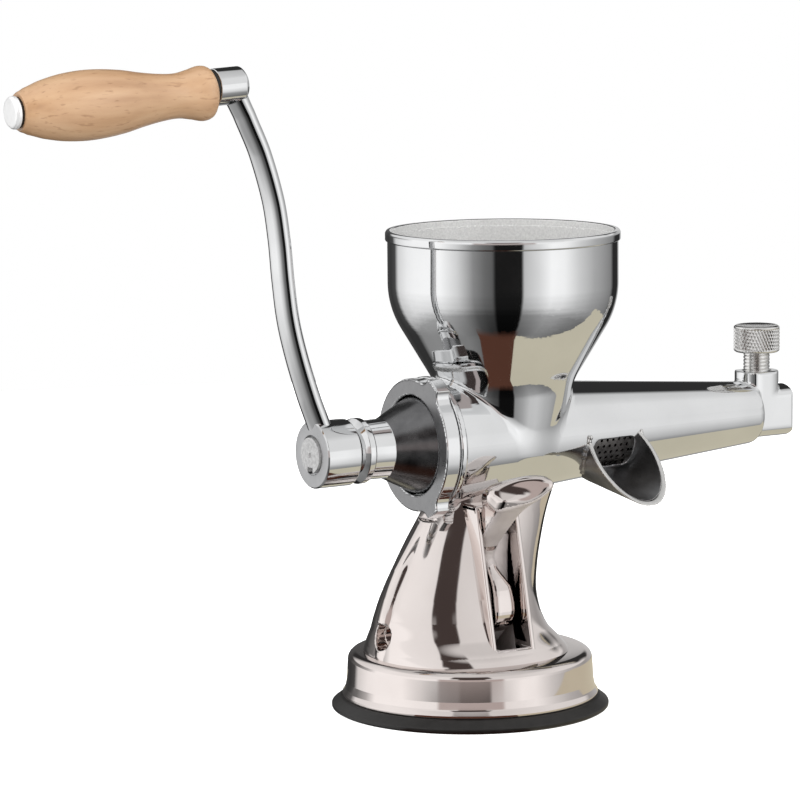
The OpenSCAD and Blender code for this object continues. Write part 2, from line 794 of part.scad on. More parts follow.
// Room behind the sill for the lever's belly as it swings out
module lever_relief() {
  room = 1;
  rotate([0, 0, -90]) translate([0, 0, pivot_h]) rotate([90, 0, 0]) translate([0, 0, -slot_w / 2])
    linear_extrude(height = slot_w) intersection() {
      circle(norm(lever_front[5]) + room);
      translate([0, slot_bottom - pivot_h - 2 * pivot_rise]) square([80, 2 * pivot_rise + eps]);
    }
}
boss_share = (pivot_rise + pivot_boss_r) / pedestal_h;
boss_rear_x = along(pedestal_form, boss_share, 1) - 0.4 * pedestal_wall;
boss_front_x = along(pedestal_form, boss_share, 2) - 0.4 * pedestal_wall;
pin_start_x = -along(pedestal_form, pivot_rise / pedestal_h, 1) + pin_recess;
pin_end_x = boss_front_x - 2;

module base_ring() {
  r = ring_edge;
  steps = 8;
  color("thistle")
  difference() {
    rotate_extrude($fn = 96) polygon(concat(
      [[ring_r - ring_wall, ring_bottom], [ring_r + ring_flare, ring_bottom],
        [ring_r + ring_flare, ring_bottom + 1.6], [ring_r, ring_bottom + 3.4]],
      [for (i = [0 : steps]) let (a = 90 * i / steps)
        [ring_r - r + r * cos(a), ring_top - r + r * sin(a)]],
      [[ring_open_r, ring_top], [ring_open_r, ring_top - ring_wall],
        [ring_r - r - 0.5, ring_top - ring_wall], [ring_r - ring_wall, ring_top - r - 1]]
    ));
    base_screw_holes(base_screw_r);
  }
}

// Places of the three screws that hold the ring under the pedestal
module at_base_screws() {
  for (k = [0 : 2]) rotate([0, 0, 90 + 120 * k]) translate([screw_circle_r, 0, 0]) children();
}

module base_screw_holes(r) {
  at_base_screws()
    translate([0, 0, ring_top - ring_wall - 1]) cylinder(h = base_screw_len + 1, r = r);
}

module base_screws() {
  head_h = 2.6;
  socket_r = 1.5;
  color("gray")
  at_base_screws() translate([0, 0, ring_top - ring_wall]) difference() {
    union() {
      cylinder(h = base_screw_len, r = base_screw_r);
      translate([0, 0, -head_h]) cylinder(h = head_h, r = 1.8 * base_screw_r);
    }
    translate([0, 0, -head_h - 1]) cylinder(h = 2.4, r = socket_r, $fn = 6);
  }
}

// Bolt that pulls the pedestal up to the barrel, under the hopper's axis
saddle_x = hopper_x + 3;
saddle_seat_h = ring_top + pedestal_h * 0.6;
saddle_top_h = axis_h - cone_r(saddle_x) + 2.4;
module saddle_bolt_hole() {
  translate([saddle_x, 0, saddle_seat_h - 1]) cylinder(h = saddle_top_h - saddle_seat_h + 1, r = saddle_bolt_r);
}

module saddle_bolt() {
  head_h = 5;
  head_r = 6.5;
  color("gray")
  translate([saddle_x, 0, saddle_seat_h]) {
    cylinder(h = saddle_top_h - saddle_seat_h, r = saddle_bolt_r);
    translate([0, 0, -head_h]) cylinder(h = head_h, r = head_r, $fn = 6);
  }
}

module lever_pin() {
  color("gray")
  translate([pin_start_x, 0, pivot_h]) rotate([0, 90, 0]) cylinder(h = pin_end_x - pin_start_x, r = pivot_r);
}

// Side view of the lever from the pivot: [reach outward, share of the barrel's height over the pivot],
// front edge then back edge
lever_h = axis_h - pivot_h;
pad_rise = pad_share * lever_h;
pad_low = pad_rise - pad_h / 2;
lever_front = [
  for (p = [
    [3, -0.136], [14, -0.052], [20, 0.026], [25, 0.092], [26.5, 0.17], [25, 0.261], [20.5, 0.353],
    [19, 0.412], [21, 0.484], [25.5, 0.569]
  ]) [p[0], p[1] * lever_h]
];
lever_back = [
  for (p = [[18.5, 0.64], [12.5, 0.56], [7, 0.47], [2, 0.314], [-4, 0.209], [-10, 0.059]])
    [p[0], p[1] * lever_h]
];

module suction_lever() {
  pad_back = pad_reach - pad_t;
  color("rosybrown")
  difference() {
    translate([0, 0, pivot_h]) {
      rotate([90, 0, 90]) translate([0, 0, -lever_t / 2]) linear_extrude(height = lever_t) {
        circle(lever_hub_r);
        mirror([1, 0]) polygon(concat(
          lever_front,
          [[pad_back + 1, pad_low + 1], [pad_back + 1, pad_low + pad_h - 3], [pad_back - 5, pad_low + pad_h - 3.5]],
          lever_back
        ));
      }
      translate([0, -pad_back, pad_rise]) rotate([90, 0, 0]) linear_extrude(height = pad_t)
        rounded(pad_w, pad_h, pad_h / 2 - eps);
    }
    translate([-lever_t, 0, pivot_h]) rotate([0, 90, 0]) cylinder(h = 2 * lever_t, r = pivot_r + run_gap);
    translate([-lever_t, link_y, pivot_h + link_z]) rotate([0, 90, 0]) cylinder(h = 2 * lever_t, r = link_r);
  }
}

module link_pin() {
  half = cheek_x + cheek_t;
  color("gray")
  translate([-half, link_y, pivot_h + link_z]) rotate([0, 90, 0]) cylinder(h = 2 * half, r = link_r);
}

module suction_stem() {
  slack = 0.3;
  plate_h = cup_t + loose_gap;
  sideways = link_arm - link_y + slack;
  cheek_w = 10;
  cheek_top = pivot_h + link_z + link_r + 3;
  slot_y = link_y + (link_arm - link_y) / 2;
  color("gray")
  difference() {
    union() {
      translate([0, 0, plate_h]) cylinder(h = stem_plate_t, r = stem_plate_r);
      for (s = [-1, 1])
        translate([s > 0 ? cheek_x : -cheek_x - cheek_t, slot_y - cheek_w / 2, plate_h])
          cube([cheek_t, cheek_w, cheek_top - plate_h]);
    }
    translate([-20, slot_y + sideways / 2, pivot_h + link_z]) rotate([0, 90, 0])
      cylinder(h = 40, r = link_r + slack);
    translate([-20, 0, pivot_h + link_z - link_r - slack])
      cube([40, slot_y + sideways / 2, 2 * (link_r + slack)]);
    translate([-20, -pivot_r - 2, pivot_h - stem_lift - pivot_r - 2])
      cube([40, pivot_r + 2 + pivot_r + loose_gap, 30]);
  }
}

module suction_cup() {
  rim_r = ring_r - ring_wall;
  rim_top = ring_bottom + 7.5;
  shoulder = ring_r + ring_flare + 0.4;
  color([0.1, 0.1, 0.1])
  rotate_extrude($fn = 96) polygon([
    [0, 0], [cup_lip_r - 1.4, 0], [cup_lip_r, 1], [cup_lip_r, 2.3], [shoulder + 1.2, ring_bottom - 0.4],
    [shoulder, ring_bottom], [rim_r, ring_bottom], [rim_r, rim_top], [rim_r - 4.5, rim_top],
    [rim_r - 6, cup_t], [0, cup_t]
  ]);
}

module pressure_screw() {
  edge = 0.7;
  head_z = boss_top + thread_show;
  color("silver")
  translate([screw_x, 0, 0]) rotate_extrude() polygon([
    [0, screw_tip], [thread_r - 1.2, screw_tip], [thread_r, screw_tip + 1.2],
    [thread_r, seal_h - groove_half], [groove_r, seal_h - groove_half],
    [groove_r, seal_h + groove_half], [thread_r, seal_h + groove_half],
    [thread_r, head_z], [knob_r - edge, head_z], [knob_r, head_z + edge],
    [knob_r, head_z + knob_h - edge], [knob_r - edge, head_z + knob_h], [0, head_z + knob_h]
  ]);
}

module screw_seal() {
  color("black")
  translate([screw_x, 0, seal_h]) rotate_extrude() translate([seal_mid_r, 0]) circle(seal_r, $fn = 24);
}

hopper();
barrel();
juice_spout();
strainer();
auger();
drive_shaft();
drive_key();
end_cap();
shaft_bush();
cap_seal();
lock_ring();
crank_hub();
crank_arm();
crank_eye();
grip_spindle();
grip_washer();
grip();
pedestal();
base_ring();
base_screws();
saddle_bolt();
lever_pin();
suction_lever();
link_pin();
suction_stem();
suction_cup();
pressure_screw();
screw_seal();
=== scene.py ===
"""Looks of the hand crank juicer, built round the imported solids. Lengths are in millimetres until a mesh is made."""
import math

import bpy
import numpy as np
from mathutils import Matrix, Vector


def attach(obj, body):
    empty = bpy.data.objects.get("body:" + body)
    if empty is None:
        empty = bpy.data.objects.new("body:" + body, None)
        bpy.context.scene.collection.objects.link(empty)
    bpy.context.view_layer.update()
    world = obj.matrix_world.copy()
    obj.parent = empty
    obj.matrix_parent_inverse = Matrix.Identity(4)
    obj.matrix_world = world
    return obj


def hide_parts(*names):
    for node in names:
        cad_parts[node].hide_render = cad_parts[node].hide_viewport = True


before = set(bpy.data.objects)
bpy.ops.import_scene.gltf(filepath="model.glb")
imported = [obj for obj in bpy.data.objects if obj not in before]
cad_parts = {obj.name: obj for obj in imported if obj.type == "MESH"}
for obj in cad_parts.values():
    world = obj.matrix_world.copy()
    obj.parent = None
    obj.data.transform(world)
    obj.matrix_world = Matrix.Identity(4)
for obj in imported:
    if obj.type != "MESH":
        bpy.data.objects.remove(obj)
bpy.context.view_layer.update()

MM = 0.001
rng = np.random.RandomState(11)

# Places and sizes shared by several pieces
AXIS = 109.5
HOPPER_X = 17.0
RIM = 194.0
BOWL_R = 46.7
FLANGE_X = -20.0
CONE_START, CONE_END = -17.2, 140.0
BACK_R, FRONT_R = 25.9, 13.0
SCREW_X = 143.9
BOSS_TOP = 127.0
PIVOT = 33.0
RING_TOP = 22.7
EYE = np.array([-108.7, 0.0, 254.9])
TILT = math.radians(2.9)
GRIP_DIR = np.array([-math.cos(TILT), 0.0, -math.sin(TILT)])


# Curves and profiles
def spline(rows, count):
    """Smooth curve through the rows, with count points evenly along their numbering."""
    rows = np.asarray(rows, float)
    t = np.linspace(0, len(rows) - 1, count)
    i = np.minimum(t.astype(int), len(rows) - 2)
    f = (t - i)[:, None]
    a = rows[np.maximum(i - 1, 0)]
    b, c = rows[i], rows[i + 1]
    d = rows[np.minimum(i + 2, len(rows) - 1)]
    return 0.5 * (2 * b + (c - a) * f + (2 * a - 5 * b + 4 * c - d) * f ** 2 + (3 * b - a - 3 * c + d) * f ** 3)


def station(rows, u, col):
    """Smooth value of a column at u, as the solids' stations give it."""
    rows = np.asarray(rows, float)
    key = rows[:, 0]
    i = np.clip(np.searchsorted(key, u, side="right") - 1, 0, len(rows) - 2)
    t = (u - key[i]) / (key[i + 1] - key[i])
    v = rows[:, col]
    a, b, c, d = v[np.maximum(i - 1, 0)], v[i], v[i + 1], v[np.minimum(i + 2, len(rows) - 1)]
    return 0.5 * (2 * b + (c - a) * t + (2 * a - 5 * b + 4 * c - d) * t ** 2 + (3 * b - a - 3 * c + d) * t ** 3)


def rounded(points, steps=5):
    """Outline whose corners are rounded: each point is (r, t) or (r, t, corner radius)."""
    out = []
    n = len(points)
    for i, p in enumerate(points):
        here = np.array(p[:2], float)
        rad = p[2] if len(p) > 2 else 0
        if rad <= 0 or i in (0, n - 1):
            out.append(here)
            continue
        before = np.array(points[i - 1][:2], float) - here
        after = np.array(points[i + 1][:2], float) - here
        lb, la = np.linalg.norm(before), np.linalg.norm(after)
        before, after = before / lb, after / la
        angle = math.acos(max(-1, min(1, float(before @ after))))
        cut = min(rad / math.tan(angle / 2), 0.49 * lb, 0.49 * la)
        start, end = here + before * cut, here + after * cut
        for k in range(steps + 1):
            s = k / steps
            out.append((1 - s) ** 2 * start + 2 * s * (1 - s) * here + s ** 2 * end)
    return np.array(out)


def arc(cx, cy, r, a0, a1, n):
    """Points of an arc from one angle to another, in degrees."""
    a = np.radians(np.linspace(a0, a1, n))
    return [(cx + r * math.cos(k), cy + r * math.sin(k)) for k in a]


# Meshes
def mesh_object(name, verts, faces, mats, normals=None, index=None, sharp=None):
    """Smooth mesh from millimetres, with its own normals or with edges sharp over an angle."""
    me = bpy.data.meshes.new(name)
    me.from_pydata((np.asarray(verts) * MM).tolist(), [], [tuple(int(i) for i in f) for f in faces])
    me.validate()
    ob = bpy.data.objects.new(name, me)
    bpy.context.collection.objects.link(ob)
    for m in mats if isinstance(mats, (list, tuple)) else [mats]:
        me.materials.append(m)
    me.polygons.foreach_set("use_smooth", [True] * len(me.polygons))
    if index is not None:
        me.polygons.foreach_set("material_index", [int(i) for i in index])
    if normals is not None:
        me.normals_split_custom_set_from_vertices([tuple(float(x) for x in n) for n in normals])
    elif sharp:
        me.set_sharp_from_angle(angle=math.radians(sharp))
    me.update()
    return ob


def net(rows, sides):
    """Quads between rows of points that run round a tube."""
    return [(i * sides + j, i * sides + (j + 1) % sides, (i + 1) * sides + (j + 1) % sides, (i + 1) * sides + j)
            for i in range(rows - 1) for j in range(sides)]


def place(ob, body, slot, *nodes):
    """Put a piece on its body, in place of the nodes named. The slot is not used."""
    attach(ob, body)
    if nodes:
        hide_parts(*nodes)


def dress(material, *nodes):
    """Give CAD nodes that stay visible their material."""
    for node in nodes:
        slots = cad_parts[node].data.materials
        slots.clear()
        slots.append(material)


def basis(axis):
    """The axis as a unit vector, and two more across it."""
    axis = np.asarray(axis, float) / np.linalg.norm(axis)
    side = np.cross([0, 1, 0], axis)
    if np.linalg.norm(side) < 1e-6:
        side = np.cross([1, 0, 0], axis)
    side = side / np.linalg.norm(side)
    return axis, side, np.cross(axis, side)


def lathe(name, profile, origin, axis, mats, segs=144, closed=False, sharp=38, index=None):
    """Turned piece: profile rows are (radius, place along the axis)."""
    profile = np.asarray(profile, float)
    ax, u, v = basis(axis)
    ang = np.linspace(0, 2 * math.pi, segs, endpoint=False)
    ring = np.cos(ang)[:, None] * u + np.sin(ang)[:, None] * v
    m = len(profile)
    verts = np.asarray(origin)[None, None] + profile[:, 0, None, None] * ring[None] + profile[:, 1, None, None] * ax
    faces, idx = [], []
    for i in range(m if closed else m - 1):
        j = (i + 1) % m
        for k in range(segs):
            l = (k + 1) % segs
            faces.append((i * segs + k, j * segs + k, j * segs + l, i * segs + l))
            idx.append(index[i] if index is not None else 0)
    verts = verts.reshape(-1, 3)
    if not closed:
        for i, flip in ((0, False), (m - 1, True)):
            if profile[i, 0] > 1e-6:
                cap = [i * segs + k for k in range(segs)]
                faces.append(tuple(cap if not flip else cap[::-1]))
                idx.append(index[min(i, m - 2)] if index is not None else 0)
    return mesh_object(name, verts, faces, mats, index=idx, sharp=sharp)


# Distance fields
def polygon_field(a, b, poly):
    """Signed distance from the points (a, b) to a closed outline, below zero inside."""
    poly = np.asarray(poly, float)
    best = np.full(a.shape, 1e9)
    inside = np.zeros(a.shape, bool)
    n = len(poly)
    for i in range(n):
        x0, y0 = poly[i]
        x1, y1 = poly[(i + 1) % n]
        ex, ey = x1 - x0, y1 - y0
        wx, wy = a - x0, b - y0
        t = np.clip((wx * ex + wy * ey) / (ex * ex + ey * ey + 1e-12), 0, 1)
        dx, dy = wx - ex * t, wy - ey * t
        best = np.minimum(best, dx * dx + dy * dy)
        if y0 != y1:
            cross = ((y0 <= b) != (y1 <= b)) & (a < x0 + (b - y0) * ex / (y1 - y0))
            inside ^= cross
    return np.where(inside, -1, 1) * np.sqrt(best)


def box_field(p, centre, half, r=0.0):
    q = np.abs(p - np.asarray(centre)) - (np.asarray(half) - r)
    return np.linalg.norm(np.maximum(q, 0), axis=1) + np.minimum(q.max(1), 0) - r


def join(a, b, k):
    """Both shapes as one, with a fillet of about k between them."""
    h = np.maximum(k - np.abs(a - b), 0) / k
    return np.minimum(a, b) - h * h * k * 0.25


def cut(a, b, k):
    """What is in a and not in b, with a rounded edge."""
    return -join(-a, b, k)


def both(a, b, k):
    """What is in a and in b, with a rounded edge."""
    return -join(-a, -b, k)


def cylinder_field(p, origin, axis, r, t0, t1, edge=0.0):
    ax = np.asarray(axis, float) / np.linalg.norm(axis)
    d = p - np.asarray(origin)
    t = d @ ax
    rad = np.linalg.norm(d - t[:, None] * ax, axis=1)
    qa, qb = rad - (r - edge), np.abs(t - (t0 + t1) / 2) - ((t1 - t0) / 2 - edge)
    return np.hypot(np.maximum(qa, 0), np.maximum(qb, 0)) + np.minimum(np.maximum(qa, qb), 0) - edge


def chunked(field, p, size=250000):
    out = np.empty(len(p))
    for i in range(0, len(p), size):
        out[i:i + size] = field(p[i:i + size])
    return out


def gradient(field, p, h=0.02):
    g = np.empty_like(p)
    for i in range(3):
        e = np.zeros(3)
        e[i] = h
        g[:, i] = (chunked(field, p + e) - chunked(field, p - e)) / (2 * h)
    return g


def surface(field, lo, hi, step):
    """Net of quads over the zero level of a field, pulled onto it, with its normals."""
    lo, hi = np.asarray(lo, float), np.asarray(hi, float)
    # Blocks of cells far from the surface are skipped
    block = 5
    n = (np.ceil((hi - lo) / (step * block)).astype(int) * block) + 1
    nb = (n - 1) // block
    mids = [lo[i] + step * block * (np.arange(nb[i]) + 0.5) for i in range(3)]
    mid = np.stack(np.meshgrid(*mids, indexing="ij"), -1)
    far = chunked(field, mid.reshape(-1, 3)).reshape(nb)
    reach = step * block * 0.87 * 1.6 + 1.0
    near = np.abs(far) < reach
    d = np.ones(n)
    d[:-1, :-1, :-1] = np.kron(np.where(far < 0, -1.0, 1.0), np.ones((block, block, block)))
    use = np.zeros(n, bool)
    for first in np.argwhere(near) * block:
        use[tuple(slice(k, k + block + 1) for k in first)] = True
    d[use] = chunked(field, lo + step * np.argwhere(use))
    # One point in each cell that the surface crosses
    s = d < 0
    corners = np.array([(i, j, k) for i in (0, 1) for j in (0, 1) for k in (0, 1)])
    total = sum(s[i:n[0] - 1 + i, j:n[1] - 1 + j, k:n[2] - 1 + k].astype(np.int8) for i, j, k in corners)
    cells = np.argwhere((total > 0) & (total < 8))
    ids = np.full(n - 1, -1, int)
    ids[tuple(cells.T)] = np.arange(len(cells))
    acc = np.zeros((len(cells), 3))
    count = np.zeros(len(cells))
    for a in range(8):
        for b in range(a + 1, 8):
            if np.abs(corners[a] - corners[b]).sum() != 1:
                continue
            da = d[tuple((cells + corners[a]).T)]
            db = d[tuple((cells + corners[b]).T)]
            hit = (da < 0) != (db < 0)
            t = np.where(hit, da / np.where(hit, da - db, 1), 0)
            acc += hit[:, None] * (corners[a] + t[:, None] * (corners[b] - corners[a]))
            count += hit
    verts = lo + step * (cells + acc / count[:, None])
    # One quad round each edge that crosses it
    faces = []
    for ax in range(3):
        o1, o2 = [(1, 2), (2, 0), (0, 1)][ax]
        lo_s = [slice(None)] * 3
        hi_s = [slice(None)] * 3
        lo_s[ax], hi_s[ax] = slice(0, n[ax] - 1), slice(1, n[ax])
        change = s[tuple(lo_s)] != s[tuple(hi_s)]
        e = np.argwhere(change)
        e = e[(e[:, o1] > 0) & (e[:, o2] > 0) & (e[:, o1] < n[o1] - 1) & (e[:, o2] < n[o2] - 1)]
        d1, d2 = np.zeros(3, int), np.zeros(3, int)
        d1[o1], d2[o2] = 1, 1
        quad = np.stack([ids[tuple(c.T)] for c in (e - d1 - d2, e - d2, e, e - d1)], 1)
        flip = ~s[tuple(e.T)]
        quad[flip] = quad[flip][:, ::-1]
        faces.append(quad)
    faces = np.concatenate(faces)
    faces = faces[(faces >= 0).all(1)]
    for _ in range(4):
        g = gradient(field, verts)
        gg = (g * g).sum(1) + 1e-9
        move = (chunked(field, verts) / gg)[:, None] * g
        size = np.linalg.norm(move, axis=1, keepdims=True)
        verts = verts - move * np.minimum(1, 0.6 * step / (size + 1e-9))
    g = gradient(field, verts)
    normals = g / (np.linalg.norm(g, axis=1, keepdims=True) + 1e-9)
    return verts, faces, normals


# Node trees
def link(t, a, b):
    t.links.new(a, b)


def feed(t, socket, value):
    """Set a socket to a number or colour, or link it to another node's output."""
    if isinstance(value, (int, float, tuple)):
        socket.default_value = value
    else:
        link(t, value, socket)


def calc(t, op, *values):
    nd = t.nodes.new("ShaderNodeMath")
    nd.operation = op
    for socket, value in zip(nd.inputs, values):
        feed(t, socket, value)
    return nd.outputs[0]


def dot(t, source, vec):
    nd = t.nodes.new("ShaderNodeVectorMath")
    nd.operation = "DOT_PRODUCT"
    link(t, source, nd.inputs[0])
    nd.inputs[1].default_value = tuple(float(q) for q in vec)
    return nd.outputs["Value"]


def mix(t, kind, fac, a, b):
    nd = t.nodes.new("ShaderNodeMix")
    nd.data_type = "RGBA"
    nd.blend_type = kind
    for name, value in (("Factor", fac), ("A", a), ("B", b)):
        feed(t, nd.inputs[name], value)
    return nd.outputs["Result"]


def noise(t, scale, detail, stretch=None):
    tex = t.nodes.new("ShaderNodeTexNoise")
    tex.inputs["Scale"].default_value = scale
    tex.inputs["Detail"].default_value = detail
    where = t.nodes.new("ShaderNodeTexCoord").outputs["Object"]
    if stretch:
        mapping = t.nodes.new("ShaderNodeMapping")
        mapping.inputs["Scale"].default_value = stretch
        link(t, where, mapping.inputs["Vector"])
        where = mapping.outputs["Vector"]
    link(t, where, tex.inputs["Vector"])
    return tex.outputs["Fac"]


def ramp(t, source, stops):
    """Colour by a value: each stop is (place, grey level or colour)."""
    r = t.nodes.new("ShaderNodeValToRGB")
    while len(r.color_ramp.elements) < len(stops):
        r.color_ramp.elements.new(0.5)
    for e, (pos, col) in zip(r.color_ramp.elements, stops):
        e.position = pos
        e.color = (*col, 1) if isinstance(col, tuple) else (col, col, col, 1)
    link(t, source, r.inputs["Fac"])
    return r.outputs["Color"]


def choose(t, fac, a, b):
    """Shader a where fac is 0, b where it is 1."""
    nd = t.nodes.new("ShaderNodeMixShader")
    for socket, value in zip(nd.inputs, (fac, a, b)):
        link(t, value, socket)
    return nd.outputs["Shader"]


def glow(t, kind, colour, strength=1.0):
    """Light of a Background or Emission node."""
    nd = t.nodes.new(kind)
    nd.inputs["Strength"].default_value = strength
    feed(t, nd.inputs["Color"], colour)
    return nd.outputs[0]


def bump(t, bsdf, source, strength, distance):
    b = t.nodes.new("ShaderNodeBump")
    b.inputs["Strength"].default_value = strength
    b.inputs["Distance"].default_value = distance
    link(t, source, b.inputs["Height"])
    link(t, b.outputs["Normal"], bsdf.inputs["Normal"])


# Materials
def principled(name):
    mat = bpy.data.materials.new(name)
    mat.use_nodes = True
    return mat, mat.node_tree, mat.node_tree.nodes["Principled BSDF"]


def metal(name, dark, light, rough, spread, scale=60.0, wave=0.0, metallic=1.0):
    mat, t, bsdf = principled(name)
    bsdf.inputs["Metallic"].default_value = metallic
    cloud = noise(t, scale, 4.0)
    link(t, ramp(t, cloud, [(0.3, dark), (0.7, light)]), bsdf.inputs["Base Color"])
    link(t, ramp(t, cloud, [(0.25, rough), (0.75, rough + spread)]), bsdf.inputs["Roughness"])
    if wave:
        bump(t, bsdf, noise(t, scale * 0.6, 2.0), wave, 0.0004)
    return mat


def soft(name, dark, light, rough, scale, depth=0.1):
    mat, t, bsdf = principled(name)
    cloud = noise(t, scale, 5.0)
    link(t, ramp(t, cloud, [(0.3, dark), (0.7, light)]), bsdf.inputs["Base Color"])
    link(t, ramp(t, cloud, [(0.2, rough), (0.8, rough + 0.15)]), bsdf.inputs["Roughness"])
    bump(t, bsdf, cloud, depth, 0.0003)
    return mat


def beech():
    mat, t, bsdf = principled("beech")
    grain = noise(t, 1.0, 6.0, (24.0, 190.0, 190.0))
    fleck = noise(t, 1.0, 2.0, (160.0, 900.0, 900.0))
    base = ramp(t, grain, [(0.25, (0.38, 0.215, 0.112)), (0.5, (0.49, 0.30, 0.168)), (0.75, (0.56, 0.365, 0.215))])
    spots = ramp(t, fleck, [(0.28, (0.55, 0.45, 0.36)), (0.4, (1.0, 1.0, 1.0))])
    link(t, mix(t, "MULTIPLY", 0.55, base, spots), bsdf.inputs["Base Color"])
    link(t, ramp(t, grain, [(0.2, 0.34), (0.8, 0.5)]), bsdf.inputs["Roughness"])
    bsdf.inputs["Coat Weight"].default_value = 0.5
    bsdf.inputs["Coat Roughness"].default_value = 0.16
    bump(t, bsdf, grain, 0.08, 0.0004)
    return mat


POLISHED = metal("polished_steel", (0.74, 0.745, 0.75), (0.79, 0.795, 0.80), 0.035, 0.03, 45.0, 0.02)
WARM = metal("warm_nickel", (0.72, 0.655, 0.63), (0.77, 0.71, 0.685), 0.05, 0.03, 45.0, 0.03)
SATIN = metal("satin_steel", (0.46, 0.465, 0.47), (0.53, 0.53, 0.54), 0.26, 0.08, 300.0)
BRUSHED = metal("brushed_steel", (0.28, 0.28, 0.285), (0.33, 0.33, 0.335), 0.26, 0.08, 300.0)
BLASTED = metal("blasted_steel", (0.58, 0.58, 0.575), (0.72, 0.72, 0.71), 0.5, 0.12, 1200.0, 0.2, 0.3)
KNURL = metal("knurled_steel", (0.72, 0.715, 0.70), (0.82, 0.81, 0.80), 0.16, 0.1, 300.0)
BRIGHT = metal("bright_steel", (0.84, 0.84, 0.84), (0.92, 0.92, 0.92), 0.3, 0.1, 250.0, 0.0, 0.45)
# Darkened steel for the juice spout: painted shade
SPOUT_SHADE_STEEL = metal("spout_steel_painted_shade", (0.27, 0.27, 0.275), (0.35, 0.35, 0.355), 0.28, 0.1, 120.0)
# Darker copy of the polished steel for the end cap's cone: a painted dark reflection
DARK_REFLECTION_STEEL = metal("steel_painted_dark_reflection", (0.16, 0.16, 0.165), (0.24, 0.24, 0.245), 0.18, 0.12, 160.0)
SHAFT_END = metal("shaft_end", (0.42, 0.42, 0.42), (0.66, 0.66, 0.66), 0.4, 0.1, 900.0, 0.3, 0.5)
DULL_WARM = metal("dull_nickel", (0.6, 0.55, 0.535), (0.68, 0.63, 0.615), 0.45, 0.1, 200.0, 0.0, 0.35)
MESH_STEEL = metal("strainer_steel", (0.2, 0.19, 0.185), (0.3, 0.29, 0.28), 0.3, 0.15, 400.0)
PLAIN = metal("plain_steel", (0.4, 0.4, 0.41), (0.5, 0.5, 0.51), 0.25, 0.1, 200.0)
RUBBER = soft("black_rubber", (0.005, 0.0045, 0.004), (0.012, 0.011, 0.0105), 0.4, 250.0)
WASHER = soft("black_washer", (0.006, 0.005, 0.004), (0.016, 0.013, 0.011), 0.45, 400.0)
NYLON = soft("white_nylon", (0.75, 0.74, 0.7), (0.82, 0.81, 0.78), 0.5, 300.0)
BEECH = beech()

# The cast body: hopper, barrel, flange and nozzle in one blended skin
SHOULDER = RIM - 21.0
SLOPE = 31.0
SHOULDER_R = 36.0
NECK_R, NECK_FILLET = 27.0, 25.0
WALL = 2.3
slope_r = BOWL_R - SHOULDER_R * (1 - math.cos(math.radians(SLOPE)))
slope_h = SHOULDER - SHOULDER_R * math.sin(math.radians(SLOPE))
neck_start_r = NECK_R + NECK_FILLET * (1 - math.cos(math.radians(SLOPE)))
neck_start_h = slope_h - (slope_r - neck_start_r) / math.tan(math.radians(SLOPE))
neck_end_h = neck_start_h - NECK_FILLET * math.sin(math.radians(SLOPE))
THROAT_R = 18.0
SEAT_H = AXIS - 5.5
SEAT_R = 22.3
NECK_TAPER = 12.0
TOP_CUT = RIM - 2.5


def hopper_outline():
    outer = [(SEAT_R, SEAT_H)]
    for i in range(13):
        a = math.radians(NECK_TAPER + (SLOPE - NECK_TAPER) * i / 12)
        outer.append((NECK_R + NECK_FILLET * (1 - math.cos(a)), neck_end_h + NECK_FILLET * math.sin(a)))
    for i in range(17):
        a = math.radians(SLOPE * (1 - i / 16))
        outer.append((BOWL_R - SHOULDER_R * (1 - math.cos(a)), SHOULDER - SHOULDER_R * math.sin(a)))
    outer.append((BOWL_R, TOP_CUT))
    inner = [(BOWL_R - WALL, TOP_CUT), (BOWL_R - WALL, SHOULDER)]
    for i in range(1, 17):
        a, r = math.radians(SLOPE * i / 16), SHOULDER_R - WALL
        inner.append((BOWL_R - WALL - r * (1 - math.cos(a)), SHOULDER - r * math.sin(a)))
    inner += [(neck_start_r - WALL, neck_start_h), (THROAT_R, neck_end_h + 8), (THROAT_R, SEAT_H)]
    return outer + inner


HOPPER_POLY = hopper_outline()
CONE_POLY = rounded([(CONE_START, -5.0), (CONE_START, BACK_R), (CONE_END, FRONT_R, 3.2), (CONE_END, -5.0)], 8)
CHAMBER_POLY = [(-30.0, -5.0), (-30.0, 21.6), (-12.0, 21.6), (138.0, 9.6), (138.0, -5.0)]
WINDOW_X, WINDOW_Z = 58.6, AXIS - 8.0
WINDOW_HALF = (10.5, 17.0, 6.0)
NOZZLE_R, NOZZLE_X0, NOZZLE_X1 = 11.0, 130.0, 158.0
FLAT_X, FLAT_HALF, NO_FLAT = 138.4, 7.6, 30.0
BOSS_R, FLANGE_R = 9.2, 27.2
PULP_R, SCREW_BORE_R = 6.0, 5.85
BARREL_O, X_AXIS = (0, 0, AXIS), (1, 0, 0)
SCREW_O, Z_AXIS = (SCREW_X, 0, 0), (0, 0, 1)
BLAST_R, BLAST_H = 45.6, 131.0


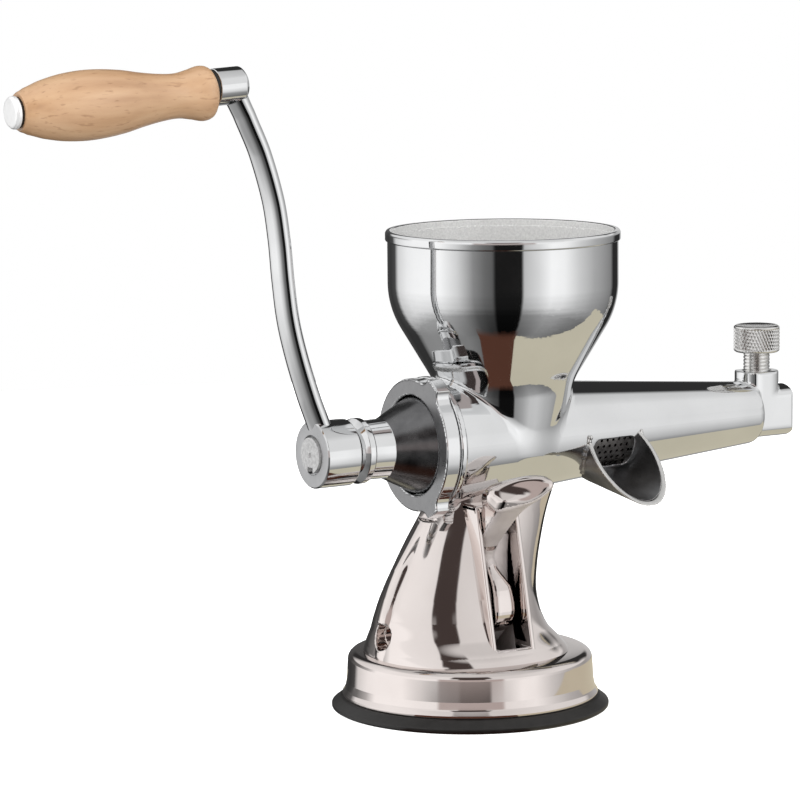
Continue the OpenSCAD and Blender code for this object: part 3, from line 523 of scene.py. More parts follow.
def casting(p):
    x, y, z = p.T
    rad_h = np.hypot(x - HOPPER_X, y)
    rad_b = np.hypot(y, z - AXIS)
    bowl = polygon_field(rad_h, z, HOPPER_POLY)
    cone = polygon_field(x, rad_b, CONE_POLY)
    body = join(bowl, cone, 2.2)
    nozzle = cylinder_field(p, BARREL_O, X_AXIS, NOZZLE_R, NOZZLE_X0, NOZZLE_X1, 0.8)
    boss = cylinder_field(p, SCREW_O, Z_AXIS, BOSS_R, AXIS, BOSS_TOP, 0.5)
    snout = join(nozzle, boss, 1.2)
    snout = both(snout, np.abs(y) - np.where(x > FLAT_X, FLAT_HALF, NO_FLAT), 1.5)
    body = join(body, snout, 1.0)
    flange = cylinder_field(p, BARREL_O, X_AXIS, FLANGE_R, FLANGE_X, CONE_START, 0.7)
    body = join(body, flange, 0.8)
    throat = np.maximum(rad_h - THROAT_R, AXIS - z)
    body = cut(body, throat, 1.0)
    body = cut(body, polygon_field(x, rad_b, CHAMBER_POLY), 0.6)
    pulp = cylinder_field(p, BARREL_O, X_AXIS, PULP_R, NOZZLE_X0, NOZZLE_X1 + 12.0)
    body = cut(body, pulp, 0.8)
    screw_bore = cylinder_field(p, SCREW_O, Z_AXIS, SCREW_BORE_R, AXIS, BOSS_TOP + 13.0)
    body = cut(body, screw_bore, 0.5)
    window = box_field(p, (WINDOW_X, -20.0, WINDOW_Z), WINDOW_HALF, 3.0)
    return cut(body, window, 0.6)


v, f, nrm = surface(casting, (-32.0, -49.0, 80.5), (160.0, 49.0, 193.0), 0.8)
# The bowl is blasted inside
centre, fn = v[f].mean(1), nrm[f].mean(1)
radial = np.stack([centre[:, 0] - HOPPER_X, centre[:, 1], 0 * centre[:, 0]], 1)
from_axis = np.linalg.norm(radial, axis=1)
inside = ((radial * fn).sum(1) < -0.2 * from_axis) & (from_axis < BLAST_R) & (centre[:, 2] > BLAST_H)
place(mesh_object("cast_body", v, f, [POLISHED, BLASTED], nrm, inside), "frame", "polished_steel", "hopper", "barrel")

# Rolled rim, with its inner side blasted too
bead = rounded([
    (BOWL_R - 1.9, RIM - 5.2), (BOWL_R - 1.9, RIM - 0.3, 0.4), (BOWL_R - 1.1, RIM, 0.4), (BOWL_R + 0.3, RIM, 0.7),
    (BOWL_R + 0.9, RIM - 1.0, 0.8), (BOWL_R + 0.9, RIM - 4.0, 0.7), (BOWL_R - 1.2, RIM - 4.9)])
inner_side = [int(max(a[0], b[0]) < BOWL_R - 1.3) for a, b in zip(bead[:-1], bead[1:])] + [0]
place(lathe("rim_bead", bead, (HOPPER_X, 0, 0), Z_AXIS, [POLISHED, BLASTED], 192, closed=True, index=inner_side),
      "frame", "polished_steel")

# Juice spout
SPOUT_DROP, SPOUT_R, SPOUT_WALL, SPOUT_REACH, BACK_DROP = 5.4, 15.2, 1.8, 46.0, 13.0
FALL, LIP_SLOPE = math.radians(7.2), math.radians(44.0)
SPOUT_DIR = np.array([0, -math.cos(FALL), -math.sin(FALL)])
SPOUT_UP = np.array([0, -math.sin(FALL), math.cos(FALL)])
SPOUT_O = np.array([WINDOW_X, 0, AXIS - SPOUT_DROP])
LIP_H = AXIS - SPOUT_DROP - SPOUT_R / math.cos(FALL) - SPOUT_REACH * math.tan(FALL)


def barrel_gap(p):
    """Distance to the barrel's cone."""
    return polygon_field(p[:, 0], np.hypot(p[:, 1], p[:, 2] - AXIS), CONE_POLY)


def over_lip(p):
    """Distance past the slanted plane of the spout's lip, below zero on the spout's side."""
    return (p[:, 2] - LIP_H) * math.cos(LIP_SLOPE) - (p[:, 1] + SPOUT_REACH) * math.sin(LIP_SLOPE)


def seam(deg):
    """Where the spout's outer skin leaves the barrel, at an angle round the spout's axis."""
    a = math.radians(deg)
    start = SPOUT_O + SPOUT_R * (math.cos(a) * np.array([1.0, 0, 0]) + math.sin(a) * SPOUT_UP)
    line = start + np.linspace(0, 40, 400)[:, None] * SPOUT_DIR
    return line[np.argmax(barrel_gap(line) > 0)]


# Weld beads on the seam, by their angles
BEADS = [(seam(a) + rng.uniform(-0.3, 0.3, 3), rng.uniform(0.8, 1.2)) for a in list(range(150, 216, 5)) + [24, 30]]


def spout(p):
    outer = cylinder_field(p, SPOUT_O, SPOUT_DIR, SPOUT_R, -5.0, 70.0)
    bore = cylinder_field(p, SPOUT_O, SPOUT_DIR, SPOUT_R - SPOUT_WALL, -5.0, 80.0)
    under = (p[:, 2] - (AXIS - BACK_DROP) - p[:, 1]) * math.sqrt(0.5)
    shell = both(outer, -under, 1.5)
    shell = cut(shell, both(bore, -(under - SPOUT_WALL), 1.5), 0.4)
    shell = both(shell, over_lip(p), 0.7)
    shell = np.maximum(np.maximum(shell, -(barrel_gap(p) + 0.8)), p[:, 1])
    for at, size in BEADS:
        shell = join(shell, np.linalg.norm(p - at, axis=1) - size, 0.5)
    return shell


v, f, nrm = surface(spout, (42.0, -50.0, 81.0), (75.5, 1.0, 122.0), 0.6)
# Faces along the lip get the brighter knurled steel: a painted highlight
lip_painted_highlight = (over_lip(v[f].mean(1)) > -0.75).astype(int)
# The spout's skin gets the darkened steel: painted shade
place(mesh_object("juice_spout_skin", v, f, [SPOUT_SHADE_STEEL, KNURL], nrm, lip_painted_highlight),
      "frame", "polished_steel", "juice_spout")

# Rear end: end cap, lock ring, hub and shaft
cap = rounded([
    (10.1, -56.1), (10.7, -56.1, 0.3), (13.2, -53.7, 0.6), (13.2, -51.2, 0.5), (12.0, -50.4, 0.4), (12.0, -41.5, 1.2),
    (19.7, -25.6, 0.5), (19.7, -22.6), (15.0, -22.6)])
# The end cap's cone gets the darker steel: a painted dark reflection
cone_painted_dark = [int(min(a[0], b[0]) > 12.05 and a[1] > -42.0 and b[1] < -25.2) for a, b in zip(cap[:-1], cap[1:])]
place(lathe("end_cap_skin", cap, BARREL_O, X_AXIS, [POLISHED, DARK_REFLECTION_STEEL], 160, sharp=25, index=cone_painted_dark),
      "frame", "polished_steel", "end_cap")

LOCK_R, LOCK_BORE_R, LOCK_X0, LOCK_X1 = 26.8, 20.2, -26.8, -20.2
EAR_R, EAR_W, EAR_TURNS = 30.5, 8.5, (31, 151, 271)


def lock(p):
    x = p[:, 0]
    y, z = p[:, 1], p[:, 2] - AXIS
    rad = np.hypot(y, z)
    ring = rad - LOCK_R
    ears = np.full(len(p), 1e3)
    for deg in EAR_TURNS:
        a = math.radians(deg)
        ey, ez = -math.sin(a), math.cos(a)
        along = y * ey + z * ez
        across = np.abs(y * ez - z * ey)
        ears = np.minimum(ears, np.maximum(np.maximum(across - EAR_W / 2, 15.0 - along), rad - EAR_R))
    flat = join(ring, ears, 4.5)
    face = np.maximum(LOCK_X0 - x, x - LOCK_X1)
    slab = both(flat, face, 0.9)
    return cut(slab, rad - LOCK_BORE_R, 0.8)


v, f, nrm = surface(lock, (-28.0, -32.0, AXIS - 32.0), (-19.5, 32.0, AXIS + 32.0), 0.6)
face_part = nrm[f].mean(1)[:, 0] < -0.8
place(mesh_object("lock_ring_skin", v, f, [POLISHED, BRUSHED], nrm, face_part), "ring", "satin_steel", "lock_ring")

HUB_R, HUB_X0, HUB_X1 = 13.4, -73.3, -56.7
hub = rounded([
    (7.9, HUB_X0 + 3), (7.9, HUB_X0, 0.3), (HUB_R - 0.55, HUB_X0, 0.4), (HUB_R, HUB_X0 + 0.6, 0.4),
    (HUB_R, HUB_X1 - 1.4, 0.6), (HUB_R - 2.4, HUB_X1, 0.4), (8.2, HUB_X1)])
face_row = [int(np.abs(np.array([a[1], b[1]]) - HUB_X0).max() < 0.25) for a, b in zip(hub[:-1], hub[1:])]
place(lathe("crank_hub_skin", hub, BARREL_O, X_AXIS, [POLISHED, SATIN], 160, sharp=25, index=face_row),
      "crank", "polished_steel", "crank_hub")

# CAD nodes that show as they are
dress(SHAFT_END, "drive_shaft")
dress(PLAIN, "drive_key", "base_screws", "saddle_bolt", "lever_pin", "link_pin", "suction_stem", "auger")
dress(MESH_STEEL, "strainer")
dress(NYLON, "shaft_bush", "cap_seal")
dress(RUBBER, "screw_seal")

# Crank arm, a bent oval rod
ARM_BOW = [
    (0, 0), (0.1, 1.2), (0.22, 1.7), (0.33, 1), (0.45, -1.6), (0.56, -4.6), (0.68, -6.8), (0.82, -6.6),
    (0.93, -4.3), (1, -2.5)]
ARM_THICK, ARM_WIDE, ARM_SWELL, ARM_WELD = 3.45, 5.2, 0.08, 0.8
ARM_ROWS, ARM_SIDES = 160, 64
ARM_ROOT = np.array([HUB_X0 + 4.1, AXIS + 12.75 - 3.0])
ARM_TWIST = math.radians(18.0)
EYE_RISE = 1.8


def arm_point(u):
    """Middle of the arm, in x and z, from the hub (0) to the eye (1)."""
    bow = station(ARM_BOW, u, 1)
    top = EYE[2] + EYE_RISE - 2 - ARM_ROOT[1]
    return np.stack([ARM_ROOT[0] + (EYE[0] - ARM_ROOT[0]) * u - bow, ARM_ROOT[1] + top * u], -1)


us = np.linspace(0, 1, ARM_ROWS)
path = arm_point(us)
way = arm_point(np.minimum(us + 0.01, 1)) - arm_point(np.maximum(us - 0.01, 0))
way = way / np.linalg.norm(way, axis=1, keepdims=True)
swell = 1 + ARM_SWELL * (1 - us) ** 3
weld = ARM_WELD * np.exp(-(1 - us) / 0.02)
thick, wide = ARM_THICK * swell + weld, ARM_WIDE * swell + 0.6 * weld
ang = np.linspace(0, 2 * math.pi, ARM_SIDES, endpoint=False)
ca, sa = np.cos(ang), np.sin(ang)
flat = thick[:, None] * ca * math.cos(ARM_TWIST) - wide[:, None] * sa * math.sin(ARM_TWIST)
ring_x = path[:, 0, None] + flat * way[:, 1, None]
ring_z = path[:, 1, None] - flat * way[:, 0, None]
ring_y = thick[:, None] * ca * math.sin(ARM_TWIST) + wide[:, None] * sa * math.cos(ARM_TWIST)
verts = np.stack([ring_x, ring_y, ring_z], -1).reshape(-1, 3)
place(mesh_object("crank_arm_skin", verts, net(ARM_ROWS, ARM_SIDES), POLISHED), "crank", "polished_steel", "crank_arm")

# Eye, washer, grip and its bolt
eye = rounded([(0, -6.45), (5.8, -6.45, 1.0), (7.25, -5.0, 1.4), (7.25, 6.3, 0.3), (7.0, 6.45)], 8)
eye_mid = EYE + np.array([0, 0, EYE_RISE])
place(lathe("crank_eye_skin", eye, eye_mid, GRIP_DIR, POLISHED, 96, sharp=30), "crank", "polished_steel", "crank_eye")
washer = rounded([(3.6, 6.45), (7.0, 6.45, 0.4), (7.0, 8.05, 0.4), (3.6, 8.05)])
place(lathe("grip_washer_skin", washer, eye_mid, GRIP_DIR, WASHER, 96, closed=True),
      "crank", "black_rubber", "grip_washer")
GRIP_U, GRIP_LEN, GRIP_R = 8.4, 81.5, 13.35
GRIP_SHAPE = [
    (0, 0.72), (0.02, 0.78), (0.05, 0.795), (0.1, 0.725), (0.17, 0.652), (0.25, 0.675), (0.36, 0.775),
    (0.46, 0.9), (0.57, 0.98), (0.67, 1), (0.78, 0.945), (0.88, 0.82), (0.955, 0.67), (0.99, 0.575), (1, 0.53)]
gu = np.linspace(0, 1, 90)
skin = np.stack([GRIP_R * station(GRIP_SHAPE, gu, 1), GRIP_U + GRIP_LEN * gu], 1)
profile = np.concatenate([[(3.7, GRIP_U)], [(skin[0, 0] - 0.8, GRIP_U)], skin[1:], [(3.7, GRIP_U + GRIP_LEN)]])
place(lathe("grip_skin", profile, EYE, GRIP_DIR, BEECH, 128, sharp=50), "grip_body", "beech", "grip")
# Bolt head, with a dark band where it meets the wood
HEAD_U = GRIP_U + GRIP_LEN - 1.52
head = rounded([
    (3.4, HEAD_U), (5.9, HEAD_U, 0.1), (5.9, HEAD_U + 2.6, 0.1), (6.3, HEAD_U + 2.7, 0.2), (6.3, HEAD_U + 3.9, 0.5),
    (5.6, HEAD_U + 4.8, 0.5), (5.0, HEAD_U + 5.0, 0.2), (0, HEAD_U + 5.0)])
band = [int(b[1] < HEAD_U + 2.66) for b in head[1:]]
place(lathe("grip_bolt_head", head, EYE, GRIP_DIR, [BRIGHT, WASHER], 96, sharp=40, index=band),
      "crank", "satin_steel", "grip_spindle")

# Pedestal: share of its height, reach to the rear, to the front and to each side
FORM = [
    (0, 43.5, 40, 39.5), (0.05, 42.8, 37, 37), (0.12, 41.5, 31.5, 32.2), (0.2, 40, 28.5, 29),
    (0.3, 37, 27.3, 26.3), (0.42, 32.2, 28.7, 23.4), (0.54, 27, 31.5, 20.4), (0.66, 21, 35, 17.6),
    (0.8, 15.5, 40, 15.5), (0.9, 13, 42, 14.5)]
tab_u = np.linspace(0, 0.9, 500)
tab = [station(FORM, tab_u, c) for c in (1, 2, 3)]
SQUARE = 2.2
RIB_W = 4.0
POCKET = [(-27, 20), (12.5, 20), (12.5, 40), (6, 52), (0, 60), (-5, 72), (-6, 83), (-60, 83), (-60, 29), (-27, 29)]
POCKET_X, POCKET_HALF = -0.9, 8.1
RELIEF_R, RELIEF_X, RELIEF_HALF, RELIEF_TOP = 33.0, 0.5, 6.5, 30.0
PIN_BOSS_R, PIN_BOSS_X0, PIN_BOSS_REAR, PIN_BOSS_FRONT = 7.0, 10.5, 38.0, 26.5
PIN_MOUTH_R, PIN_MOUTH_X = 5.5, -37.0
FLANGE_ROOM_R = 31.0
FIN_X = ((-10.8, -9.0), (7.2, 9.2))


def fin_front(z):
    """Front of the rails, which lean back as they rise."""
    return -34.6 + (z - 30.2) * 0.2225


def pedestal(p):
    x, y, z = p.T
    u = np.clip((z - RING_TOP) / (AXIS - RING_TOP), 0, 0.9)
    rear, front, depth = [np.interp(u, tab_u, c) for c in tab]
    mid, half = (front - rear) / 2, (front + rear) / 2
    q = ((np.abs(x - mid) / half) ** SQUARE + (np.abs(y) / depth) ** SQUARE + 1e-12) ** (1 / SQUARE)
    body = (q - 1) * np.minimum(half, depth) * 0.85
    rib_end = rear + 3.0 * np.clip((0.62 - u) / 0.2, 0, 1) * np.clip(u / 0.2, 0, 1) - RIB_W
    rib = np.hypot(x - np.clip(x, -rib_end, 0), y) - RIB_W
    body = join(body, rib * 0.9, 1.0)
    pocket = np.maximum(polygon_field(y, z, POCKET), np.abs(x - POCKET_X) - POCKET_HALF)
    body = cut(body, pocket, 0.6)
    from_pin = np.hypot(y, z - PIVOT)
    relief = np.maximum(from_pin - RELIEF_R, np.maximum(np.abs(x - RELIEF_X) - RELIEF_HALF, z - RELIEF_TOP))
    body = cut(body, relief, 0.6)
    boss_ends = np.abs(x) - np.where(x < 0, PIN_BOSS_REAR, PIN_BOSS_FRONT)
    bosses = np.maximum(from_pin - PIN_BOSS_R, np.maximum(PIN_BOSS_X0 - np.abs(x), boss_ends))
    body = join(body, bosses, 1.0)
    body = cut(body, np.maximum(from_pin - PIN_MOUTH_R, x - PIN_MOUTH_X), 0.6)
    body = np.maximum(body, RING_TOP - z)
    body = np.maximum(body, -(barrel_gap(p) + 1.6))
    rear_room = np.maximum(np.hypot(y, z - AXIS) - FLANGE_ROOM_R, x - FLANGE_X + 0.1)
    return cut(body, rear_room, 0.8)


v, f, nrm = surface(pedestal, (-47.0, -46.0, 22.0), (47.0, 46.0, 102.0), 0.6)
# The slot is left as cast inside
centre = v[f].mean(1)
cast = polygon_field(centre[:, 1], centre[:, 2], POCKET) < 0.3
cast &= np.abs(centre[:, 0] - POCKET_X) < POCKET_HALF + 0.3
place(mesh_object("pedestal_skin", v, f, [WARM, DULL_WARM], nrm, cast), "frame", "warm_nickel", "pedestal")

# Rails either side of the lever's slot, and the bar that closes them at the top
RAIL_Z0, RAIL_Z1, RAIL_ROWS = 26.0, 85.5, 60
RAIL_DEPTH, RAIL_EDGE = 12.0, 0.6


def rail(name, x0, x1):
    rows = np.linspace(RAIL_Z0, RAIL_Z1, RAIL_ROWS)
    r = RAIL_EDGE
    corner = [(math.cos(a), math.sin(a)) for a in np.linspace(-math.pi, -math.pi / 2, 5)]
    plan = [(x0, RAIL_DEPTH)] + [(x0 + r + r * c, r + r * d) for c, d in corner]
    plan += [(x1 - r - r * c, r + r * d) for c, d in corner[::-1]] + [(x1, RAIL_DEPTH)]
    n = len(plan)
    verts = np.array([(a, fin_front(h) + b, h) for h in rows for a, b in plan])
    faces = [(i * n + j, i * n + j + 1, (i + 1) * n + j + 1, (i + 1) * n + j)
             for i in range(RAIL_ROWS - 1) for j in range(n - 1)]
    faces += [tuple(range(n))[::-1], tuple((RAIL_ROWS - 1) * n + j for j in range(n))]
    return mesh_object(name, verts, faces, WARM, sharp=40)


for side, (x0, x1) in zip(("left", "right"), FIN_X):
    place(rail("slot_rail_" + side, x0, x1), "frame", "warm_nickel")


def top_bar(p):
    return box_field(p, (-0.8, fin_front(84.5) + 6.0, 84.6), (10.0, 6.0, 1.6), 0.9)


v, f, nrm = surface(top_bar, (-12.5, -25.0, 82.0), (11.0, -8.0, 87.5), 0.5)
place(mesh_object("slot_bar", v, f, WARM, nrm), "frame", "warm_nickel")

# Lever with its thumb paddle: outlines in reach to the front and height over the pivot. Its belly clears
# the stem's plate when the lever is down
LEVER_FRONT = [
    (3, -10.4), (10, -7.6), (15, -3.4), (20.5, 1.4), (25, 4.2), (26.8, 8.6), (26.5, 13), (25, 20), (20.5, 27),
    (19, 31.5), (21.5, 37), (27.5, 44), (34, 51), (38, 57)]
LEVER_BACK = [(30, 60), (19.5, 50), (12.5, 42.8), (7, 36), (2, 24), (-4, 16), (-10, 4.5), (-9, -5)]
side_view = np.concatenate([spline(LEVER_FRONT, 45), spline(LEVER_BACK, 30)])
# Across the lever: height over the pivot, middle, half width
ACROSS = np.array([
    (-14, 0.5, 5.2), (13, 0.5, 5.2), (20, 0.2, 4.6), (27, -1.4, 2.9), (33, -2.2, 3.3), (40, -3.0, 5.4),
    (47, -2.6, 6.2), (54, -1.8, 6.2)])
WEB = [(10, 8), (18.6, 12), (18.6, 32), (19.5, 40), (14, 43), (7, 36), (4, 24), (4, 12)]
WEB_X, WEB_HALF = 0.4, 6.3
LEVER_HUB_R, LEVER_HUB_HALF, LEVER_BORE_R = 11.0, 5.0, 4.1
PAD_TILT, PAD_TURN = math.radians(12.0), math.radians(30.0)
PAD_X, PAD_Y, PAD_Z = 1.8, 36.4, 60.6
PAD_LONG, PAD_HIGH, PAD_HALF = 12.9, 5.0, 3.4
WEB_FACE_Y, WEB_TOP, HEAD_FOOT, DOWNWARD = -19.8, PIVOT + 44, PIVOT + 36, -0.3


def lever(p):
    x, y, z = p[:, 0], -p[:, 1], p[:, 2] - PIVOT
    middle, half = [np.interp(z, ACROSS[:, 0], ACROSS[:, c]) for c in (1, 2)]
    plate = both(polygon_field(y, z, side_view), (np.abs(x - middle) - half) * 0.9, 2.8)
    hub = both(np.hypot(y, z) - LEVER_HUB_R, np.abs(x) - LEVER_HUB_HALF, 1.0)
    arm = join(plate, hub, 1.5)
    web = both(polygon_field(y, z, WEB), np.abs(x - WEB_X) - WEB_HALF, 0.6)
    arm = np.minimum(arm, web)
    run = (x - PAD_X) * math.cos(PAD_TURN) + (y - PAD_Y) * math.sin(PAD_TURN)
    out = (y - PAD_Y) * math.cos(PAD_TURN) - (x - PAD_X) * math.sin(PAD_TURN)
    px = run * math.cos(PAD_TILT) + (z - PAD_Z) * math.sin(PAD_TILT)
    pz = -run * math.sin(PAD_TILT) + (z - PAD_Z) * math.cos(PAD_TILT)
    oval = (np.sqrt((px / PAD_LONG) ** 2 + (pz / PAD_HIGH) ** 2 + 1e-9) - 1) * PAD_HIGH
    pad = both(oval, np.abs(out + 0.06 * (z - PAD_Z)) - PAD_HALF, 1.8)
    arm = join(arm, pad, 7.0)
    return cut(arm, np.hypot(y, z) - LEVER_BORE_R, 0.4)


v, f, nrm = surface(lever, (-16.0, -49.0, 20.0), (17.0, 13.0, 104.0), 0.45)
# Web and the paddle's underside are dull
centre, fn = v[f].mean(1), nrm[f].mean(1)
dull = (centre[:, 1] > WEB_FACE_Y) & (centre[:, 2] < WEB_TOP)
dull |= (fn[:, 2] < DOWNWARD) & (fn[:, 1] < DOWNWARD) & (centre[:, 2] > HEAD_FOOT)
place(mesh_object("suction_lever_skin", v, f, [WARM, DULL_WARM], nrm, dull),
      "lever", "warm_nickel", "suction_lever")

# Base ring and rubber cup
ring = rounded([
    (47.6, 6.2), (47.6, 5.5, 0.3), (51.9, 5.5, 0.4), (52.1, 6.6, 0.5), (50.9, 8.5, 2.0), (50.3, 11.6, 1.6),
    (49.8, 20.0)]).tolist()
ring += arc(46.2, 20.0, 3.6, 3, 90, 16)[1:]
ring += [(40.0, 23.65), (31.0, 23.6), (31.0, 20.1), (44.0, 20.1), (47.4, 17.0)]
place(lathe("base_ring_skin", ring, (0, 0, 0), Z_AXIS, WARM, 224, closed=True, sharp=35),
      "frame", "warm_nickel", "base_ring")
cup = rounded([
    (0, 0), (55.0, 0, 0.4), (56.4, 0.8, 0.6), (56.5, 2.2, 0.8), (52.8, 5.0, 1.2), (51.3, 5.5, 0.3), (47.4, 5.5),
    (47.4, 13.0), (42.9, 13.0), (41.4, 8.0), (0, 8.0)])
place(lathe("suction_cup_skin", cup, (0, 0, 0), Z_AXIS, RUBBER, 192, sharp=35),
      "frame", "black_rubber", "suction_cup")

# Pressure screw: knurled head on a cut thread
KNOB_R, KNOB_Z0, KNOB_Z1 = 9.75, BOSS_TOP + 8.0, BOSS_TOP + 19.2
THREAD_R, PITCH = 5.5, 1.5


def wave(t):
    """Zigzag between 0 and 1, once for each whole number."""
    return np.abs((t % 1.0) * 2 - 1)


RIDGES, TWIST = 45, 0.343
KNURL_DEPTH, EDGE = 0.5, 0.9


def grid(columns, z0, z1, count):
    """Angles round the screw and heights along it, as lists and as two grids."""
    angles = np.linspace(0, 2 * math.pi, columns, endpoint=False)
    heights = np.linspace(z0, z1, count)
    return angles, heights, *np.meshgrid(angles, heights)


def around_screw(radius, angles, heights):
    """Points at a distance from the screw's axis."""
    return np.stack([SCREW_X + radius * np.cos(angles), radius * np.sin(angles), heights], -1).reshape(-1, 3)


columns = 12 * RIDGES
angles, heights, A, Z = grid(columns, KNOB_Z0 + EDGE, KNOB_Z1 - EDGE, 64)
turn = A / (2 * math.pi) * RIDGES
depth = np.maximum(wave(turn + TWIST * Z), 0.7 * wave(turn - TWIST * Z))
fade = np.clip(np.minimum(Z - heights[0], heights[-1] - Z) / 0.5, 0, 1)
knurled = KNOB_R - KNURL_DEPTH * depth * fade - 0.1 * (1 - fade)
# Rings of the head's underside and top: how far inside the rim, and height
UNDERSIDE = [(4.3, KNOB_Z0), (0.9, KNOB_Z0), (0.25, KNOB_Z0 + 0.5)]
TOP = [
    (0.25, KNOB_Z1 - 0.5), (0.9, KNOB_Z1), (1.6, KNOB_Z1), (2.0, KNOB_Z1 - 0.15), (KNOB_R, KNOB_Z1 - 0.15)]
rings = [around_screw(KNOB_R - inset, angles, np.full(columns, h)) for inset, h in UNDERSIDE]
rings += [around_screw(r, angles, np.full(columns, h)) for r, h in zip(knurled, heights)]
rings += [around_screw(KNOB_R - inset, angles, np.full(columns, h)) for inset, h in TOP]
place(mesh_object("screw_knob", np.concatenate(rings), net(len(rings), columns), KNURL, sharp=40),
      "screw", "satin_steel", "pressure_screw")

columns, rows = 72, 220
angles, heights, A, Z = grid(columns, AXIS + 4.5, KNOB_Z0 + 0.2, rows)
R = THREAD_R - np.maximum(0, 0.45 - wave(Z / PITCH - A / (2 * math.pi)))
seal_groove = (Z > BOSS_TOP - 5.0) & (Z < BOSS_TOP - 3.0)
R = np.where(seal_groove, 4.0, R)
faces = net(rows, columns) + [tuple(range(columns))[::-1]]
place(mesh_object("screw_thread", around_screw(R, A, Z), faces, KNURL, sharp=60), "screw", "satin_steel")

# Camera, fitted to the photo's 800 x 800 frame
CAM_AZ, CAM_EL, CAM_ROLL = math.radians(-31.27), math.radians(7.91), math.radians(-0.51)
CAM_TARGET = np.array([-23.548, 14.300, 125.97])
CAM_DIST, CAM_LENS = 1642.01, 182.97
back = np.array([math.sin(CAM_AZ) * math.cos(CAM_EL), -math.cos(CAM_AZ) * math.cos(CAM_EL), math.sin(CAM_EL)])
right = np.array([math.cos(CAM_AZ), math.sin(CAM_AZ), 0])
up = np.cross(back, right)
cam_x = math.cos(CAM_ROLL) * right + math.sin(CAM_ROLL) * up
cam_y = -math.sin(CAM_ROLL) * right + math.cos(CAM_ROLL) * up
spot = (CAM_TARGET + CAM_DIST * back) * MM
cam_data = bpy.data.cameras.new("camera")
cam_data.sensor_width = 36.0
cam_data.lens = CAM_LENS
cam_data.clip_end = 50.0
cam = bpy.data.objects.new("camera", cam_data)
bpy.context.collection.objects.link(cam)
cam.matrix_world = Matrix([*zip(cam_x, cam_y, back, spot), (0, 0, 0, 1)])
bpy.context.scene.camera = cam

# Studio: the camera sees white, but the metal mirrors a sky of light and dark stretches, so it isn't plain light
world = bpy.data.worlds.new("studio")
bpy.context.scene.world = world
world.use_nodes = True
wt = world.node_tree
wt.nodes.clear()
flat_back = back * [1, 1, 0]
flat_back = flat_back / np.linalg.norm(flat_back)
ray = wt.nodes.new("ShaderNodeTexCoord").outputs["Generated"]
# Share of a turn to the right of the camera, height and nearness to the camera's side, each from 0 to 1
turn_at = calc(wt, "ARCTAN2", dot(wt, ray, right), dot(wt, ray, flat_back))
turn_at = calc(wt, "MULTIPLY_ADD", turn_at, 1 / (2 * math.pi), 0.5)
height = calc(wt, "MULTIPLY_ADD", dot(wt, ray, (0, 0, 1)), 0.5, 0.5)
ahead = calc(wt, "MULTIPLY_ADD", dot(wt, ray, flat_back), 0.5, 0.5)
SKY_GAIN = 1.25


def lin(v8):
    """Linear value of an 8 bit tone."""
    c = v8 / 255.0
    return c / 12.92 if c <= 0.04045 else ((c + 0.055) / 1.055) ** 2.4


def level(deg):
    """Value of height at an elevation."""
    return 0.5 + 0.5 * math.sin(math.radians(deg))


def around(rows):
    return ramp(wt, turn_at, [(d / 360 + 0.5, t if isinstance(t, tuple) else lin(t) * SKY_GAIN) for d, t in rows])


def above(low, high):
    """0 under one elevation, 1 over another."""
    return ramp(wt, height, [(level(low), 0.0), (level(high), 1.0)])


# Rows of degrees to the right of the camera and tone: under the horizon, on it, over it and high up. UNDER and
# part of LEVEL go back to tones sampled across the bowl in the photo, then adjusted
GAP = (0.55, 0.485, 0.47)
STRIP = (0.068, 0.053, 0.05)
UNDER = [
    (-180, 70), (-152, 54), (-138, 70), (-130, 212), (-112, 240), (-99, 246), (-67, 250), (-48, 212),
    (-31, 135), (-20, 105), (-12, 92), (-9, 24), (17.5, 24), (19.5, 188), (34, 216), (48, 248), (62, 242),
    (80, 206), (102, 168), (134, 126), (141, 40), (158, 40), (166, 170), (180, 190)]
LEVEL = [
    (-180, 80), (-152, 60), (-128, 110), (-112, 175), (-99, 248), (-67, 250), (-32, 238), (-29, GAP),
    (29, GAP), (32, 232), (62, 242), (80, 214), (102, 180), (134, 150), (180, 190)]
OVER = [
    (-180, 45), (-160, 45), (-145, 215), (-90, 240), (-13, 228), (-11, STRIP), (13, STRIP), (15, 215),
    (90, 222), (140, 215), (155, 45), (180, 45)]
HIGH = [
    (-180, 45), (-160, 45), (-145, 215), (-90, 240), (-21, 228), (-19, STRIP), (19, STRIP), (21, 215),
    (90, 222), (126, 215), (138, 45), (180, 45)]
fall = [(0.0, 0.2), (level(-60), 0.2), (level(-35), 0.36), (level(-25), 0.75), (level(-8), 1.0)]
sky = mix(wt, "MULTIPLY", 1.0, around(UNDER), ramp(wt, height, fall))
sky = mix(wt, "MIX", above(-5, -3.5), sky, around(LEVEL))
sky = mix(wt, "MIX", above(11, 15), sky, around(OVER))
sky = mix(wt, "MIX", above(18, 26), sky, around(HIGH))
zenith = ramp(wt, ahead, [(0.24, 0.03), (0.29, 0.6), (0.6, 0.75)])
sky = mix(wt, "MIX", above(42, 54), sky, zenith)
WHITE = (1, 1, 1, 1)
camera_ray = wt.nodes.new("ShaderNodeLightPath").outputs["Is Camera Ray"]
backdrop = choose(wt, camera_ray, glow(wt, "ShaderNodeBackground", sky), glow(wt, "ShaderNodeBackground", WHITE))
link(wt, backdrop, wt.nodes.new("ShaderNodeOutputWorld").inputs["Surface"])

# Floor: white to the camera, while the metal mirrors a brown strip toward the camera and a cream board on it, and
# elsewhere sees and is lit through it
FLOOR_R, FLOOR_SIDES = 1.0, 96
STRIP_LEFT, STRIP_RIGHT, STRIP_END = -0.6, 0.45, 0.14
BOARD_X, BOARD_Y = (-0.02, 0.45), (-0.113, 0.1)
CREAM, BROWN = (0.62, 0.575, 0.45, 1), (0.1, 0.042, 0.028, 1)
FADE = [(0.47, 1.0), (0.68, 0.0)]
FADE_SCALE = 5.0


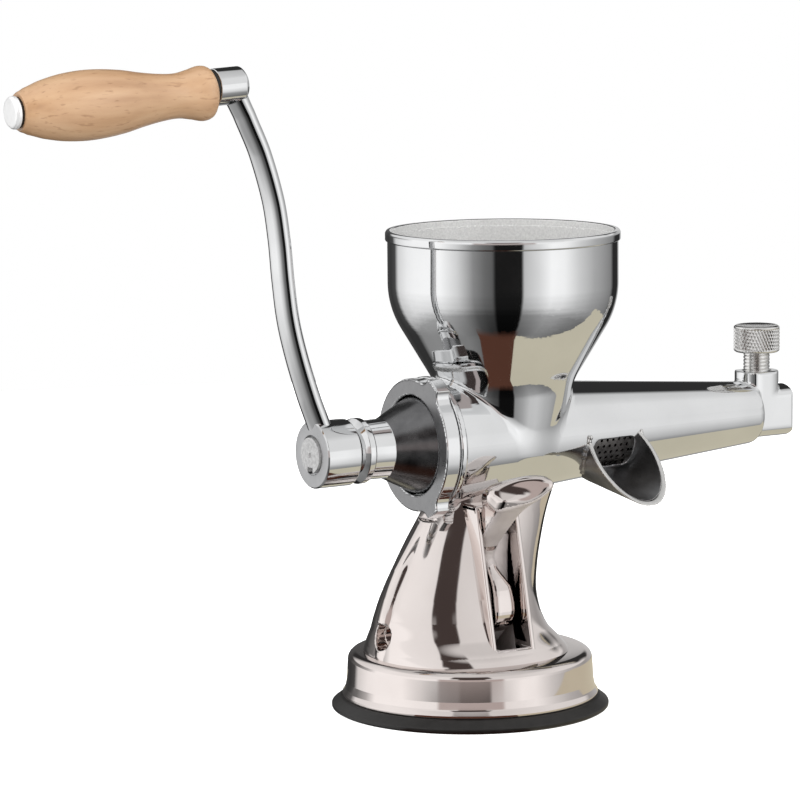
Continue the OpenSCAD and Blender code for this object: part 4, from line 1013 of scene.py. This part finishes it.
def floor_material():
    mat = bpy.data.materials.new("floor")
    mat.use_nodes = True
    t = mat.node_tree
    t.nodes.clear()
    position = t.nodes.new("ShaderNodeNewGeometry").outputs["Position"]

    def within(value, low, high):
        return calc(t, "MULTIPLY", calc(t, "GREATER_THAN", value, low), calc(t, "LESS_THAN", value, high))

    toward, across = dot(t, position, flat_back), dot(t, position, right)
    strip = within(across, calc(t, "MULTIPLY", toward, STRIP_LEFT), calc(t, "MULTIPLY", toward, STRIP_RIGHT))
    strip = calc(t, "MULTIPLY", strip, calc(t, "LESS_THAN", toward, STRIP_END))
    board = calc(
        t, "MULTIPLY", within(dot(t, position, (1, 0, 0)), *BOARD_X), within(dot(t, position, (0, 1, 0)), *BOARD_Y))
    fade = ramp(t, calc(t, "MULTIPLY", toward, FADE_SCALE), FADE)
    patched = calc(t, "MAXIMUM", calc(t, "MULTIPLY", strip, fade), board)
    patch = glow(t, "ShaderNodeEmission", mix(t, "MIX", strip, CREAM, BROWN))
    clear = t.nodes.new("ShaderNodeBsdfTransparent").outputs["BSDF"]
    dull = t.nodes.new("ShaderNodeBsdfDiffuse")
    dull.inputs["Color"].default_value = (0.9, 0.9, 0.9, 1)
    seen = t.nodes.new("ShaderNodeAddShader")
    link(t, glow(t, "ShaderNodeEmission", WHITE, 0.9), seen.inputs[0])
    link(t, dull.outputs["BSDF"], seen.inputs[1])
    to_camera = t.nodes.new("ShaderNodeLightPath").outputs["Is Camera Ray"]
    look = choose(t, to_camera, choose(t, patched, clear, patch), seen.outputs["Shader"])
    link(t, look, t.nodes.new("ShaderNodeOutputMaterial").inputs["Surface"])
    return mat


edge = np.linspace(0, 2 * math.pi, FLOOR_SIDES, endpoint=False)
me = bpy.data.meshes.new("floor")
me.from_pydata([(FLOOR_R * math.cos(a), FLOOR_R * math.sin(a), 0) for a in edge], [], [tuple(range(FLOOR_SIDES))])
me.materials.append(floor_material())
floor = bpy.data.objects.new("floor", me)
bpy.context.collection.objects.link(floor)


def softbox(name, at, look, w, h, power):
    data = bpy.data.lights.new(name, "AREA")
    data.shape = "RECTANGLE"
    data.size, data.size_y = w, h
    data.energy = power
    ob = bpy.data.objects.new(name, data)
    bpy.context.collection.objects.link(ob)
    ob.location = at
    ob.rotation_euler = (Vector(look) - Vector(at)).to_track_quat("-Z", "Y").to_euler()
    ob.visible_camera = False
    ob.visible_glossy = False


softbox("key_left", (-1.6, -0.7, 1.1), (0, 0, 0.12), 1.0, 1.2, 22.0)
softbox("key_right", (0.8, -1.6, 1.0), (0, 0, 0.12), 1.0, 1.2, 18.0)
softbox("overhead", (0.0, 0.2, 1.7), (0, 0, 0.1), 1.4, 1.4, 6.0)
softbox("fill_low", (-0.4, -0.6, -0.7), (-0.05, 0, 0.15), 1.0, 1.0, 7.0)

bpy.context.scene.view_settings.view_transform = "Standard"
